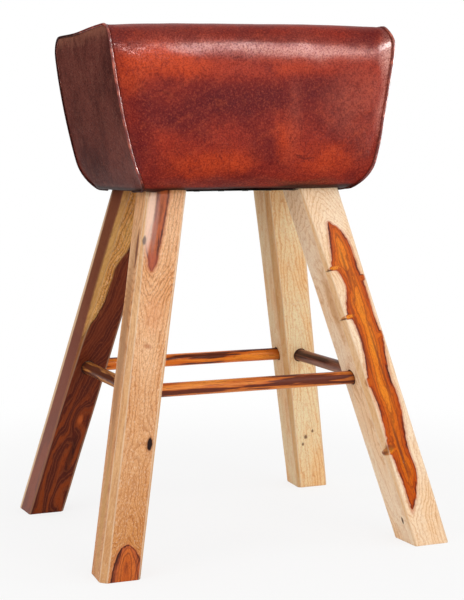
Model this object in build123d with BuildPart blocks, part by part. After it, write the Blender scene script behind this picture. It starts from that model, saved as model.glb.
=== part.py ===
from build123d import *
from math import atan, cos, hypot, sin
import os

# A leather-topped bar stool: an upholstered block on four square legs that splay both ways,
# joined by four round rungs. Millimetres, floor at z = 0, the long side of the block along X,
# the front towards -Y.

# Stance: leg centres at the floor, and where the legs meet the underside of the block
foot_length = 507
foot_depth = 431
head_length = 250
head_depth = 142
seat_underside = 553

# Legs, sawn from square timber, with corners planed off by hand
leg_timber = 59
leg_housing = 10
leg_planing = 9
housing_clearance = 0.3

# Rungs, let into the legs and glued in with turned tenons
rung_height = 257
rung_diameter = 21
tenon_diameter = 13
tenon_length = 15
rung_let_in = 6
socket_gap = 1.6
tenon_clearance = 0.1

# The upholstered block. Its ends stand out past the leg heads by an overhang, spread to a knee and
# spread again to the top; its sides stand out past them by an overhang too.
block_height = 245
end_overhang = 47
knee_spread = 27.5
top_spread = 35.5
block_knee_height = 48
side_overhang = 81.5
block_right_rise = 11
block_crown = 5
top_radius = 31
bottom_radius = 44
end_lean_share = 0.27

# Hide, welt and cloth
hide = 2
hide_under_margin = 42.5
hide_end_margin = 37
welt_diameter = 4.6
welt_sink = 1.0
cloth = 0.8
cloth_margin = 8
soft_gap = 0.3
welt_gap = 0.5

# The wooden box inside the block, and its gaps to the block's surface for the padding
base_end_gap = 4
base_side_gap = 34.5
base_thickness = 28
base_round = 22
base_end_chamfer = 3
side_board = 15
end_board = 18
top_board_thickness = 15
top_board_chamfer = 3
top_padding = 44
pad_edge = 12

# Screws and staples
leg_screw_diameter = 6
leg_screw_length = 70
leg_screw_head = 12
frame_screw_diameter = 4
frame_screw_length = 40
frame_screw_head = 8
screw_sides = 8
screw_rim_share = 0.06
screw_point_share = 0.4
base_screw_sink = 11
screw_clearance = 0.15
staple_width = 10
staple_wire = 0.8
staple_leg = 7

# A spare length that carries each cut clear of what it cuts
overrun = 25

# Places and sizes worked out from the values above
block_bottom_length = head_length + 2 * end_overhang
block_knee_length = block_bottom_length + 2 * knee_spread
block_top_length = block_knee_length + 2 * top_spread
block_depth = head_depth + 2 * side_overhang
block_top_height = seat_underside + block_height
block_bottom = seat_underside + cloth
base_length = block_bottom_length - 2 * base_end_gap
base_depth = block_depth - 2 * base_side_gap
base_bottom = block_bottom + hide + soft_gap
base_top = base_bottom + base_thickness
leg_head = base_bottom + leg_housing
box_top = block_top_height - hide - top_padding
side_top = box_top - top_board_thickness
knee_height = block_bottom + block_knee_height
form_reach = block_top_length / 2 + overrun / 4
welt_reach = welt_sink + welt_diameter / 2 + welt_gap
bottom_flat = block_depth / 2 - bottom_radius
hide_under_edge = bottom_flat - hide_under_margin

# Each leg: side along X and end along Y (-1 or 1); its width and depth at the foot and at the head,
# and the shift of its head, as shares of the timber; then the planing of its corners, which runs
# from the foot to the head in four stations, as shares of the deepest planing. The corners go round
# from the front left one.
station_shares = (0, 0.35, 0.7, 1)
leg_shares = {
    "leg_front_left": dict(
        side=-1,
        end=-1,
        width_shares=(1.0, 1.06),
        depth_shares=(1.0, 1.03),
        shift_shares=(-0.04, 0.02),
        planing_shares=(
            (1.0, 0.3, 0.4, 0.3),
            (1.0, 0.5, 0.2, 0.4),
            (0.85, 0.4, 0.3, 0.6),
            (0.2, 0.2, 0.5, 0.3),
        ),
    ),
    "leg_front_right": dict(
        side=1,
        end=-1,
        width_shares=(1.0, 1.13),
        depth_shares=(1.02, 1.06),
        shift_shares=(-0.03, -0.06),
        planing_shares=(
            (0.2, 0.3, 0.6, 0.3),
            (0.9, 0.2, 0.5, 0.4),
            (0.8, 0.25, 0.3, 0.6),
            (0.3, 0.2, 0.2, 0.5),
        ),
    ),
    "leg_rear_left": dict(
        side=-1,
        end=1,
        width_shares=(1.0, 1.03),
        depth_shares=(1.02, 0.98),
        shift_shares=(0.08, 0.04),
        planing_shares=(
            (0.15, 0.4, 0.3, 0.8),
            (0.2, 0.3, 0.5, 0.7),
            (0.9, 0.3, 0.4, 0.4),
            (1.1, 0.2, 0.3, 0.2),
        ),
    ),
    "leg_rear_right": dict(
        side=1,
        end=1,
        width_shares=(0.96, 1.09),
        depth_shares=(1.0, 1.0),
        shift_shares=(0.03, -0.08),
        planing_shares=(
            (0.5, 0.3, 0.7, 0.4),
            (0.9, 0.4, 0.5, 0.3),
            (1.0, 0.3, 0.3, 0.5),
            (0.8, 0.2, 0.4, 0.3),
        ),
    ),
}


def save(part, name):
    """Label a finished piece and write it to its own file."""
    part.label = name
    export_step(part, f"parts/{name}.step")


# The legs


def leg_plane(leg):
    """Plane on the floor at a leg's foot, with Z along the leg and X in the leg's front face."""
    foot = Vector(leg["side"] * foot_length / 2, leg["end"] * foot_depth / 2, 0)
    shift_x, shift_y = (share * leg_timber for share in leg["shift_shares"])
    head = Vector(
        leg["side"] * head_length / 2 + shift_x, leg["end"] * head_depth / 2 + shift_y, seat_underside
    )
    along = (head - foot).normalized()
    across = along.cross(Vector(1, 0, 0)).normalized()
    return Plane(origin=foot, x_dir=across.cross(along), z_dir=along)


def leg_length(leg):
    """Length along the leg from the floor to the underside of the block."""
    return seat_underside / leg_plane(leg).z_dir.Z


def leg_size(leg, distance):
    """Width and depth of the timber at a distance up the leg."""
    share = distance / leg_length(leg)
    shares = (leg["width_shares"], leg["depth_shares"])
    return [leg_timber * (at_foot + (at_head - at_foot) * share) for at_foot, at_head in shares]


def planed_square(width, depth, cuts):
    """Corners of the timber's section, each planed off by its own cut, from the front left round."""
    x, y = width / 2, depth / 2
    a, b, c, d = cuts
    front = [(-x, -y + a), (-x + a, -y), (x - b, -y), (x, -y + b)]
    rear = [(x, y - c), (x - c, y), (-x + d, y), (-x, y - d)]
    return front + rear


def leg_blank(leg, clearance):
    """The upper end of a leg without its planing, larger all round by a clearance."""
    plane, length = leg_plane(leg), leg_length(leg)
    with BuildPart() as blank:
        for distance in (length - overrun, length + overrun):
            width, depth = leg_size(leg, distance)
            with BuildSketch(plane.offset(distance)):
                Rectangle(width + 2 * clearance, depth + 2 * clearance)
        loft(ruled=True)
        split(bisect_by=Plane.XY.offset(leg_head + clearance), keep=Keep.BOTTOM)
    return blank.part


def leg_axis(leg, height):
    """Point on a leg's centre line at a height above the floor."""
    plane = leg_plane(leg)
    return plane.origin + plane.z_dir * (height / plane.z_dir.Z)


def screw_spots(leg):
    """The two screws in a leg's head, set across the way the leg leans."""
    centre = leg_axis(leg, leg_head)
    step = leg_timber / 5
    across = -leg["side"] * leg["end"] * step
    return [(centre.X + turn * step, centre.Y + turn * across) for turn in (-1, 1)]


# The rungs. Each runs level between two legs: its direction, the legs it joins and its centre line.


def rung_line(first, second, direction):
    """Ends of a rung's shoulders, let into the faces of two legs, on a line square to the frame."""
    axes = [leg_axis(leg_shares[name], rung_height) for name in (first, second)]
    middle = (axes[0] + axes[1]) * 0.5
    ends = []
    for name, axis in zip((first, second), axes):
        leg = leg_shares[name]
        plane = leg_plane(leg)
        width, depth = leg_size(leg, rung_height / plane.z_dir.Z)
        normal = plane.x_dir if direction.X else plane.y_dir
        half = (width if direction.X else depth) / 2 / normal.dot(direction)
        on_axis = axis.dot(direction)
        inward = 1 if on_axis < 0 else -1
        ends.append(on_axis + inward * (half - rung_let_in))
    base = middle - direction * middle.dot(direction)
    return base + direction * ends[0], base + direction * ends[1]


rungs = {
    "rung_front": ("leg_front_left", "leg_front_right", Vector(1, 0, 0)),
    "rung_rear": ("leg_rear_left", "leg_rear_right", Vector(1, 0, 0)),
    "rung_left": ("leg_front_left", "leg_rear_left", Vector(0, 1, 0)),
    "rung_right": ("leg_front_right", "leg_rear_right", Vector(0, 1, 0)),
}


def leg_sockets(name):
    """Planes at the shoulders of the rungs that enter a leg, facing the way each rung leaves."""
    sockets = []
    for first, second, direction in rungs.values():
        if name in (first, second):
            start, stop = rung_line(first, second, direction)
            here, away = (start, direction) if name == first else (stop, -direction)
            sockets.append(Plane(origin=here, z_dir=away))
    return sockets


# The block's form: a crowned profile with rounded long edges, trimmed by the lean of its two ends


def top_line(inset):
    """Crown of the block from its left end to its right one, long at both ends."""
    left = (-form_reach, block_top_height - inset)
    middle = (0, block_top_height + block_right_rise / 2 + block_crown - inset)
    right = (form_reach, block_top_height + block_right_rise - inset)
    return ThreePointArc(left, middle, right)


def long_form(inset):
    """The block at an inset under its surface, left long at both ends."""
    with BuildPart() as form:
        with BuildSketch(Plane.XZ):
            with BuildLine():
                top = top_line(inset)
                low = block_bottom + inset
                Polyline(top @ 0, (-form_reach, low), (form_reach, low), top @ 1)
            make_face()
        extrude(amount=block_depth / 2 - inset, both=True)
        long_faces = faces().filter_by(Axis.Y)
        fillet(long_faces.edges().group_by(Axis.Z)[-1], radius=top_radius - inset)
        fillet(edges().filter_by(Axis.X).group_by(Axis.Z)[0], radius=bottom_radius - inset)
    return form.part


def end_circle(far):
    """Centre and radius of the arc that the end follows from its knee to a far point."""
    lean = atan(end_lean_share)
    inward = (-cos(lean), sin(lean))
    chord = (far[0] - block_knee_length / 2, far[1] - knee_height)
    radius = hypot(*chord) ** 2 / (2 * (chord[0] * inward[0] + chord[1] * inward[1]))
    return block_knee_length / 2 + inward[0] * radius, knee_height + inward[1] * radius, radius


end_foot = (block_bottom_length / 2, block_bottom)
end_tip = (block_top_length / 2, block_top_height)


def end_reach(height, inset=0):
    """How far the block's end stands from the middle at a height."""
    x, z, radius = end_circle(end_tip if height > knee_height else end_foot)
    return x + ((radius - inset) ** 2 - (height - z) ** 2) ** 0.5


def end_trim(inset):
    """The solid between the block's two leaning ends, drawn in by an inset."""
    with BuildPart() as trim:
        with BuildSketch(Plane.XZ):
            with BuildLine():
                knee = (block_knee_length / 2, knee_height)
                upper = TangentArc(knee, end_tip, tangent=(end_lean_share, 1))
                lower = TangentArc(knee, end_foot, tangent=(-end_lean_share, -1))
                rise = Line(upper @ 1, upper @ 1 + (upper % 1) * overrun)
                fall = Line(lower @ 1, lower @ 1 + (lower % 1) * overrun)
                Line(rise @ 1, (0, (rise @ 1).Y))
                Line(fall @ 1, (0, (fall @ 1).Y))
                mirror(about=Plane.YZ)
            make_face()
            if inset:
                offset(amount=-inset, kind=Kind.INTERSECTION)
        extrude(amount=block_depth, both=True)
    return trim.part


# Screws. One eight-sided form serves as the screw and, a little larger, as the hole that it seats in.


def wood_screw(diameter, length, head, above=0):
    """A countersunk wood screw, its head's face at z = 0, its point downwards; a hole is open above."""
    flare = (head - diameter) / 2
    with BuildPart() as screw:
        with BuildSketch():
            RegularPolygon(head / 2, side_count=screw_sides, major_radius=False)
        extrude(amount=-flare - head * screw_rim_share)
        chamfer(edges().group_by(Axis.Z)[0], length=flare)
        with BuildSketch():
            RegularPolygon(diameter / 2, side_count=screw_sides, major_radius=False)
        extrude(amount=-length)
        chamfer(edges().group_by(Axis.Z)[0], length=diameter * screw_point_share)
        if above:
            extrude(faces().sort_by(Axis.Z)[-1], amount=above)
    return screw.part


def screws(planes, diameter, length, head):
    """Screws of one kind in their places."""
    with BuildPart() as driven:
        with Locations(*planes):
            add(wood_screw(diameter, length, head))
    return driven.part


def drill(planes, diameter, length, head):
    """Seats for screws, cut in the piece that is being made."""
    ease = 2 * screw_clearance
    seat = wood_screw(diameter + ease, length + screw_clearance, head + ease, above=overrun)
    with Locations(*planes):
        add(seat, mode=Mode.SUBTRACT)


def leg_screw_planes(*legs):
    return [Plane(origin=(x, y, base_top)) for leg in legs for x, y in screw_spots(leg)]


def drill_for_legs(*legs):
    drill(leg_screw_planes(*legs), leg_screw_diameter, leg_screw_length, leg_screw_head)


os.makedirs("parts", exist_ok=True)

for name, leg in leg_shares.items():
    plane, length = leg_plane(leg), leg_length(leg)
    with BuildPart() as timber:
        for station, cut_shares in zip(station_shares, leg["planing_shares"]):
            past_end = {0: -overrun, 1: overrun}.get(station, 0)
            distance = station * length + past_end
            cuts = [leg_planing * share for share in cut_shares]
            with BuildSketch(plane.offset(distance)):
                with BuildLine():
                    Polyline(*planed_square(*leg_size(leg, distance), cuts), close=True)
                make_face()
        loft(ruled=True)
        split(bisect_by=Plane.XY, keep=Keep.TOP)
        split(bisect_by=Plane.XY.offset(leg_head), keep=Keep.BOTTOM)
        for socket in leg_sockets(name):
            with Locations(socket.offset(overrun)):
                CounterBoreHole(
                    radius=tenon_diameter / 2 + tenon_clearance,
                    counter_bore_radius=rung_diameter / 2 + socket_gap,
                    counter_bore_depth=overrun,
                    depth=overrun + tenon_length + tenon_clearance,
                )
        drill_for_legs(leg)
    save(timber.part, name)

for name, (first, second, direction) in rungs.items():
    start, stop = rung_line(first, second, direction)
    length = (stop - start).length
    with BuildPart() as rung:
        with BuildSketch(Plane(origin=start, z_dir=direction)):
            Circle(rung_diameter / 2)
        extrude(amount=length)
        with BuildSketch(Plane(origin=start - direction * tenon_length, z_dir=direction)):
            Circle(tenon_diameter / 2)
        extrude(amount=length + 2 * tenon_length)
    save(rung.part, name)

# The wooden box. Its ends lean with the block, so that the padding over them is even.

box_lean_share = (end_reach(box_top) - end_reach(base_top)) / (box_top - base_top)


def box_end(height):
    """Half length of the box at a height, over its end boards."""
    return base_length / 2 + box_lean_share * (height - base_top)


side_line = (base_depth - side_board) / 2
top_spots = [(px * base_length / 4, py * side_line) for px in (-1, 1) for py in (-1, 1)]
top_spots += [(px * (box_end(side_top) - end_board / 2), 0) for px in (-1, 1)]
base_spots = [(px * base_length / 7, py * side_line) for px in (-1, 1) for py in (-1, 1)]
base_spots += [(px * (base_length - end_board) / 2, 0) for px in (-1, 1)]
corner_heights = [base_top + (side_top - base_top) * share for share in (0.25, 0.75)]

top_screws = [Plane(origin=(x, y, box_top)) for x, y in top_spots]
base_screws = [Plane(origin=(x, y, base_bottom + base_screw_sink), z_dir=(0, 0, -1)) for x, y in base_spots]
corner_screws = [
    Plane(origin=(px * (box_end(z) - end_board / 2), py * base_depth / 2, z), z_dir=(0, py, 0))
    for px in (-1, 1)
    for py in (-1, 1)
    for z in corner_heights
]
frame_screw_planes = top_screws + base_screws + corner_screws


def drill_frame():
    drill(frame_screw_planes, frame_screw_diameter, frame_screw_length, frame_screw_head)


with BuildPart() as base_board:
    with BuildSketch(Plane.XY.offset(base_bottom)):
        Rectangle(base_length, base_depth)
    extrude(amount=base_thickness)
    fillet(edges().filter_by(Axis.X).group_by(Axis.Z)[0], radius=base_round)
    chamfer(edges().filter_by(Axis.Y).group_by(Axis.Z)[0], length=base_end_chamfer)
    for leg in leg_shares.values():
        add(leg_blank(leg, housing_clearance), mode=Mode.SUBTRACT)
    drill_for_legs(*leg_shares.values())
    drill_frame()
save(base_board.part, "base_board")

for end_name, end in (("front", -1), ("rear", 1)):
    with BuildPart() as side:
        with BuildSketch(Plane.XZ.offset(-end * base_depth / 2)):
            with BuildLine():
                Polyline(
                    (-box_end(base_top), base_top),
                    (box_end(base_top), base_top),
                    (box_end(side_top), side_top),
                    (-box_end(side_top), side_top),
                    close=True,
                )
            make_face()
        extrude(amount=end * side_board)
        drill_frame()
    save(side.part, f"side_board_{end_name}")

for side_name, side in (("left", -1), ("right", 1)):
    with BuildPart() as end:
        with BuildSketch(Plane.XZ):
            with BuildLine():
                Polyline(
                    (side * box_end(base_top), base_top),
                    (side * box_end(side_top), side_top),
                    (side * (box_end(side_top) - end_board), side_top),
                    (side * (box_end(base_top) - end_board), base_top),
                    close=True,
                )
            make_face()
        extrude(amount=base_depth / 2 - side_board, both=True)
        drill_frame()
    save(end.part, f"end_board_{side_name}")

with BuildPart() as top_board:
    with BuildSketch(Plane.XY.offset(side_top)):
        Rectangle(2 * box_end(side_top), base_depth)
    extrude(amount=top_board_thickness)
    chamfer(edges().group_by(Axis.Z)[-1], length=top_board_chamfer)
    drill_frame()
save(top_board.part, "top_board")

frame_screws = screws(frame_screw_planes, frame_screw_diameter, frame_screw_length, frame_screw_head)
save(frame_screws, "frame_screws")

leg_screws = screws(
    leg_screw_planes(*leg_shares.values()), leg_screw_diameter, leg_screw_length, leg_screw_head
)
save(leg_screws, "leg_screws")

# Padding: a slab over the box, a pad down the front and the rear, and a pad on each end

pad_form = long_form(hide + soft_gap)
pad_trim = end_trim(welt_reach)
end_pad_form = long_form(welt_reach)
end_pad_trim = end_trim(hide + soft_gap)
leg_clearings = [leg_blank(leg, soft_gap) for leg in leg_shares.values()]

with BuildPart() as foam_top:
    add(pad_form)
    add(pad_trim, mode=Mode.INTERSECT)
    split(bisect_by=Plane.XY.offset(box_top + soft_gap), keep=Keep.TOP)
save(foam_top.part, "foam_top")

for end_name, end in (("front", -1), ("rear", 1)):
    with BuildPart() as pad:
        add(pad_form)
        add(pad_trim, mode=Mode.INTERSECT)
        split(bisect_by=Plane.XY.offset(box_top), keep=Keep.BOTTOM)
        inner_face = Plane(origin=(0, end * (base_depth / 2 - pad_edge), 0), z_dir=(0, end, 0))
        split(bisect_by=inner_face, keep=Keep.TOP)
        with BuildSketch(Plane.XY.offset(base_bottom + base_round)):
            Rectangle(2 * block_top_length, base_depth + 2 * soft_gap)
        extrude(amount=box_top, mode=Mode.SUBTRACT)
        with BuildSketch(Plane.YZ):
            with Locations((0, base_bottom + base_thickness / 2)):
                Rectangle(base_depth + 2 * soft_gap, base_thickness + 2 * soft_gap)
            fillet(vertices().group_by(Axis.Y)[0], radius=base_round + soft_gap)
        extrude(amount=block_top_length, both=True, mode=Mode.SUBTRACT)
        with BuildSketch(Plane.XY.offset(seat_underside)):
            with Locations(*[(px * base_length, 0) for px in (-1, 1)]):
                Rectangle(base_length, base_depth + 2 * soft_gap)
        extrude(amount=base_top, mode=Mode.SUBTRACT)
        for clearing in leg_clearings:
            add(clearing, mode=Mode.SUBTRACT)
    save(pad.part, f"foam_{end_name}")

for side_name, side in (("left", -1), ("right", 1)):
    with BuildPart() as pad:
        add(end_pad_form)
        add(end_pad_trim, mode=Mode.INTERSECT)
        split(bisect_by=Plane.XY.offset(box_top), keep=Keep.BOTTOM)
        split(bisect_by=Plane.YZ, keep=Keep.TOP if side > 0 else Keep.BOTTOM)
        with BuildSketch(Plane.XZ):
            with BuildLine():
                inner = base_length / 2 + soft_gap
                Polyline(
                    (0, block_bottom),
                    (side * inner, block_bottom),
                    (side * inner, base_top),
                    (side * (box_end(box_top + overrun) + soft_gap), box_top + overrun),
                    (0, box_top + overrun),
                    close=True,
                )
            make_face()
        extrude(amount=block_depth, both=True, mode=Mode.SUBTRACT)
        with BuildSketch(Plane.XY.offset(seat_underside)):
            Rectangle(2 * block_top_length, base_depth)
        extrude(amount=block_top_height, mode=Mode.INTERSECT)
    save(pad.part, f"foam_{side_name}")

# The hide: one piece over front, top and rear, and a panel on each end

with BuildPart() as leather_wrap:
    add(long_form(0))
    add(long_form(hide), mode=Mode.SUBTRACT)
    add(end_trim(welt_reach), mode=Mode.INTERSECT)
    with BuildSketch(Plane.XY.offset(seat_underside)):
        Rectangle(2 * block_top_length, 2 * hide_under_edge)
    extrude(amount=base_thickness, mode=Mode.SUBTRACT)
    for clearing in leg_clearings:
        add(clearing, mode=Mode.SUBTRACT)
save(leather_wrap.part, "leather_wrap")

with BuildPart() as end_sheets:
    add(end_trim(0))
    add(end_trim(hide), mode=Mode.SUBTRACT)

with BuildPart() as end_folds:
    add(end_sheets.part)
    with BuildSketch(Plane.XY.offset(block_bottom)):
        Rectangle(2 * block_top_length, 2 * (hide_under_edge - welt_reach))
    extrude(amount=2 * welt_reach, mode=Mode.INTERSECT)

for side_name, side in (("left", -1), ("right", 1)):
    with BuildPart() as panel:
        add(end_sheets.part)
        add(end_pad_form, mode=Mode.INTERSECT)
        add(end_folds.part)
        split(bisect_by=Plane.YZ, keep=Keep.TOP if side > 0 else Keep.BOTTOM)
        turned_in = block_bottom_length / 2 - hide_end_margin / 2
        with BuildSketch(Plane.XY.offset(block_bottom)):
            with Locations((side * turned_in, 0)):
                Rectangle(hide_end_margin, 2 * (hide_under_edge - welt_reach))
        extrude(amount=hide)
        for clearing in leg_clearings:
            add(clearing, mode=Mode.SUBTRACT)
    save(panel.part, f"leather_end_{side_name}")

# The corded welt in the seam round each end: stations along the corner where wrap and panel meet

welt_steps = (1, 8, 4, 5, 6, 5, 4, 8, 1)
with BuildLine():
    crown_line = top_line(welt_sink)


def seam_outline(high):
    """The corner between wrap and panel, from under the front edge round to under the rear."""
    y, low = block_depth / 2 - welt_sink, block_bottom + welt_sink
    top_round, low_round = top_radius - welt_sink, bottom_radius - welt_sink
    under = Line((-hide_under_edge, low), (-y + low_round, low))
    lower = TangentArc(under @ 1, (-y, low + low_round), tangent=(-1, 0))
    side = Line(lower @ 1, (-y, high - top_round))
    corner = TangentArc(side @ 1, (-y + top_round, high), tangent=(0, 1))
    crown = Line(corner @ 1, (y - top_round, high))
    far_corner = TangentArc(crown @ 1, (y, high - top_round), tangent=(1, 0))
    far_side = Line(far_corner @ 1, (y, low + low_round))
    far_lower = TangentArc(far_side @ 1, (y - low_round, low), tangent=(0, -1))
    far_under = Line(far_lower @ 1, (hide_under_edge, low))
    return [under, lower, side, corner, crown, far_corner, far_side, far_lower, far_under]


def welt_point(point, side):
    """A point of the seam, carried out to the lean of the block's end."""
    return Vector(side * end_reach(point.Y, welt_sink), point.X, point.Y)


for side_name, side in (("left", -1), ("right", 1)):
    tip_share = (1 + side * end_reach(end_tip[1], welt_sink) / form_reach) / 2
    seam = []
    with BuildLine():
        seam_edges = seam_outline((crown_line @ tip_share).Y)
    for edge, steps in zip(seam_edges, welt_steps):
        seam += [welt_point(edge @ (n / steps), side) for n in range(steps)]
    seam.append(welt_point(seam_edges[-1] @ 1, side))
    with BuildPart() as piping:
        for place, point in enumerate(seam):
            before, after = seam[max(place - 1, 0)], seam[min(place + 1, len(seam) - 1)]
            with BuildSketch(Plane(origin=point, x_dir=(1, 0, 0), z_dir=after - before)):
                RegularPolygon(radius=welt_diameter / 2, side_count=8)
        loft(ruled=True)
    save(piping.part, f"piping_{side_name}")

# The black cloth under the block, and the staples that hold the hide and the cloth

with BuildPart() as dust_cover:
    with BuildSketch(Plane.XY.offset(seat_underside)):
        Rectangle(block_bottom_length - 2 * cloth_margin, 2 * (bottom_flat - cloth_margin / 2))
    extrude(amount=cloth)
    for clearing in leg_clearings:
        add(clearing, mode=Mode.SUBTRACT)
save(dust_cover.part, "dust_cover")


def staple(leg):
    """A wire staple driven upwards: its crown under z = 0 along X, its two points above."""
    with BuildPart() as wire:
        with BuildSketch(Plane.XZ):
            with Locations((0, -staple_wire / 2)):
                Rectangle(staple_width, staple_wire)
            with Locations(*[(end * (staple_width - staple_wire) / 2, leg / 2) for end in (-1, 1)]):
                Rectangle(staple_wire, leg)
        extrude(amount=staple_wire / 2, both=True)
    return wire.part


def staple_rows(height, rows):
    """Places for staples: rows along X and along Y, each with its offset, reach and count."""
    spots = []
    for lengthwise, row_offset, reach, count in rows:
        for edge in (-1, 1):
            for n in range(count):
                along = reach * (2 * n / (count - 1) - 1)
                x, y = (along, edge * row_offset) if lengthwise else (edge * row_offset, along)
                x_dir = (1, 0, 0) if lengthwise else (0, 1, 0)
                spots.append(Plane(origin=(x, y, height), x_dir=x_dir, z_dir=(0, 0, 1)))
    return spots


between_legs = head_length / 2 - leg_timber / 2 - 3 * staple_width / 2
between_ends = head_depth / 2 - leg_timber / 2 - 3 * staple_width / 2
hide_row = (hide_under_edge + bottom_flat) / 2
cloth_row = bottom_flat - cloth_margin

with BuildPart() as leather_staples:
    spots = staple_rows(
        block_bottom + staple_wire,
        (
            (True, hide_row - staple_wire, between_legs, 6),
            (False, block_bottom_length / 2 - hide_end_margin + cloth_margin, between_ends, 3),
        ),
    )
    with Locations(*spots):
        add(staple(staple_leg))
save(leather_staples.part, "leather_staples")

with BuildPart() as dust_cover_staples:
    spots = staple_rows(
        seat_underside,
        (
            (True, cloth_row, between_legs, 5),
            (False, block_bottom_length / 2 - 2 * cloth_margin, between_ends, 2),
        ),
    )
    with Locations(*spots):
        add(staple(staple_leg))
save(dust_cover_staples.part, "dust_cover_staples")
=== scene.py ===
from math import atan, cos, exp, hypot, pi, radians, sin

import bmesh
import bpy
from mathutils import Matrix, Vector, noise


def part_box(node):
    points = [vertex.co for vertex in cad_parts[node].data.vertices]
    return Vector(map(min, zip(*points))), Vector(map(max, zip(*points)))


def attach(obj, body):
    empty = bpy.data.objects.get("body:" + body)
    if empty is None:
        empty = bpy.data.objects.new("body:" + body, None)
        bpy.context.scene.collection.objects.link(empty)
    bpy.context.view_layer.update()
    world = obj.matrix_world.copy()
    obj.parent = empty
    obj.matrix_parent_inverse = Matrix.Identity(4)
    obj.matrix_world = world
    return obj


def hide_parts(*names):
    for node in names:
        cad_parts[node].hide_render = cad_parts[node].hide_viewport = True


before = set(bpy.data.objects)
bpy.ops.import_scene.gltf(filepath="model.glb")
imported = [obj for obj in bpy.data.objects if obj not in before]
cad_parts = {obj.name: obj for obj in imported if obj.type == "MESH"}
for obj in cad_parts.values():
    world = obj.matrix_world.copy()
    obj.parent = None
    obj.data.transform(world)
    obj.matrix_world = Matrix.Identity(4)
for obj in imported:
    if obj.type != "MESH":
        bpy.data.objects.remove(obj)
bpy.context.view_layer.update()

# A leather-topped stool: a padded block with corded ends on four splayed legs of sheesham, joined by
# four round rungs. Metres, floor at z = 0, the long side of the block along X, the front towards -Y.


def mm(*parts):
    return tuple(part / 1000 for part in parts)


def tone(red, green, blue):
    """A colour as the eye names it, each part from 0 to 255, as Blender mixes it."""
    parts = (part / 255 for part in (red, green, blue))
    return tuple(part / 12.92 if part <= 0.04045 else ((part + 0.055) / 1.055) ** 2.4 for part in parts)


def ease(share):
    """A smooth step from 0 to 1."""
    share = min(max(share, 0), 1)
    return share * share * (3 - 2 * share)


# Node trees, written as sums and calls


class Wire:
    """An output socket that can stand in a sum. Each operator adds one Math node."""

    def __init__(self, bench, socket):
        self.bench, self.socket = bench, socket

    def other(self, output):
        """Another output of the same node."""
        return Wire(self.bench, self.socket.node.outputs[output])

    def math(self, operation, *others):
        return self.bench.math(operation, self, *others)

    def __add__(self, other):
        return self.math("ADD", other)

    def __radd__(self, other):
        return self.bench.math("ADD", other, self)

    def __sub__(self, other):
        return self.math("SUBTRACT", other)

    def __rsub__(self, other):
        return self.bench.math("SUBTRACT", other, self)

    def __mul__(self, other):
        return self.math("MULTIPLY", other)

    def __rmul__(self, other):
        return self.bench.math("MULTIPLY", other, self)

    def __truediv__(self, other):
        return self.math("DIVIDE", other)

    def __pow__(self, other):
        return self.math("POWER", other)

    def smooth(self, low, high):
        """0 below the low end, 1 above the high one, and a soft step between."""
        ends = {"Value": self, "From Min": low, "From Max": high}
        return self.bench.node("ShaderNodeMapRange", ends, interpolation_type="SMOOTHSTEP")

    def glazed(self, share, colour, blend="MIX"):
        """This colour with another laid over it by a share from 0 to 1."""
        return self.bench.mix(share, self, colour, blend)


class Bench:
    """A node tree under construction."""

    def __init__(self, tree):
        self.tree = tree

    def node(self, kind, inputs=(), output=0, **settings):
        """Adds a node with its settings and its sockets' values or links. Gives one of its outputs."""
        made = self.tree.nodes.new(kind)
        for name, value in settings.items():
            setattr(made, name, value)
        for name, value in dict(inputs).items():
            if isinstance(value, Wire):
                self.tree.links.new(value.socket, made.inputs[name])
            else:
                made.inputs[name].default_value = value
        return Wire(self, made.outputs[output]) if made.outputs else None

    def math(self, operation, *terms):
        return self.node("ShaderNodeMath", dict(enumerate(terms)), operation=operation)

    def vector(self, x, y, z):
        return self.node("ShaderNodeCombineXYZ", {"X": x, "Y": y, "Z": z})

    def vector_math(self, operation, inputs, output=0):
        return self.node("ShaderNodeVectorMath", inputs, output, operation=operation)

    def direct(self):
        """1 for rays that come straight from the camera, a reflection or a see-through surface."""
        path = self.node("ShaderNodeLightPath")
        rays = ("Is Camera Ray", "Is Glossy Ray", "Is Transmission Ray")
        return sum(path.other(ray) for ray in rays).math("MINIMUM", 1.0)


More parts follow.
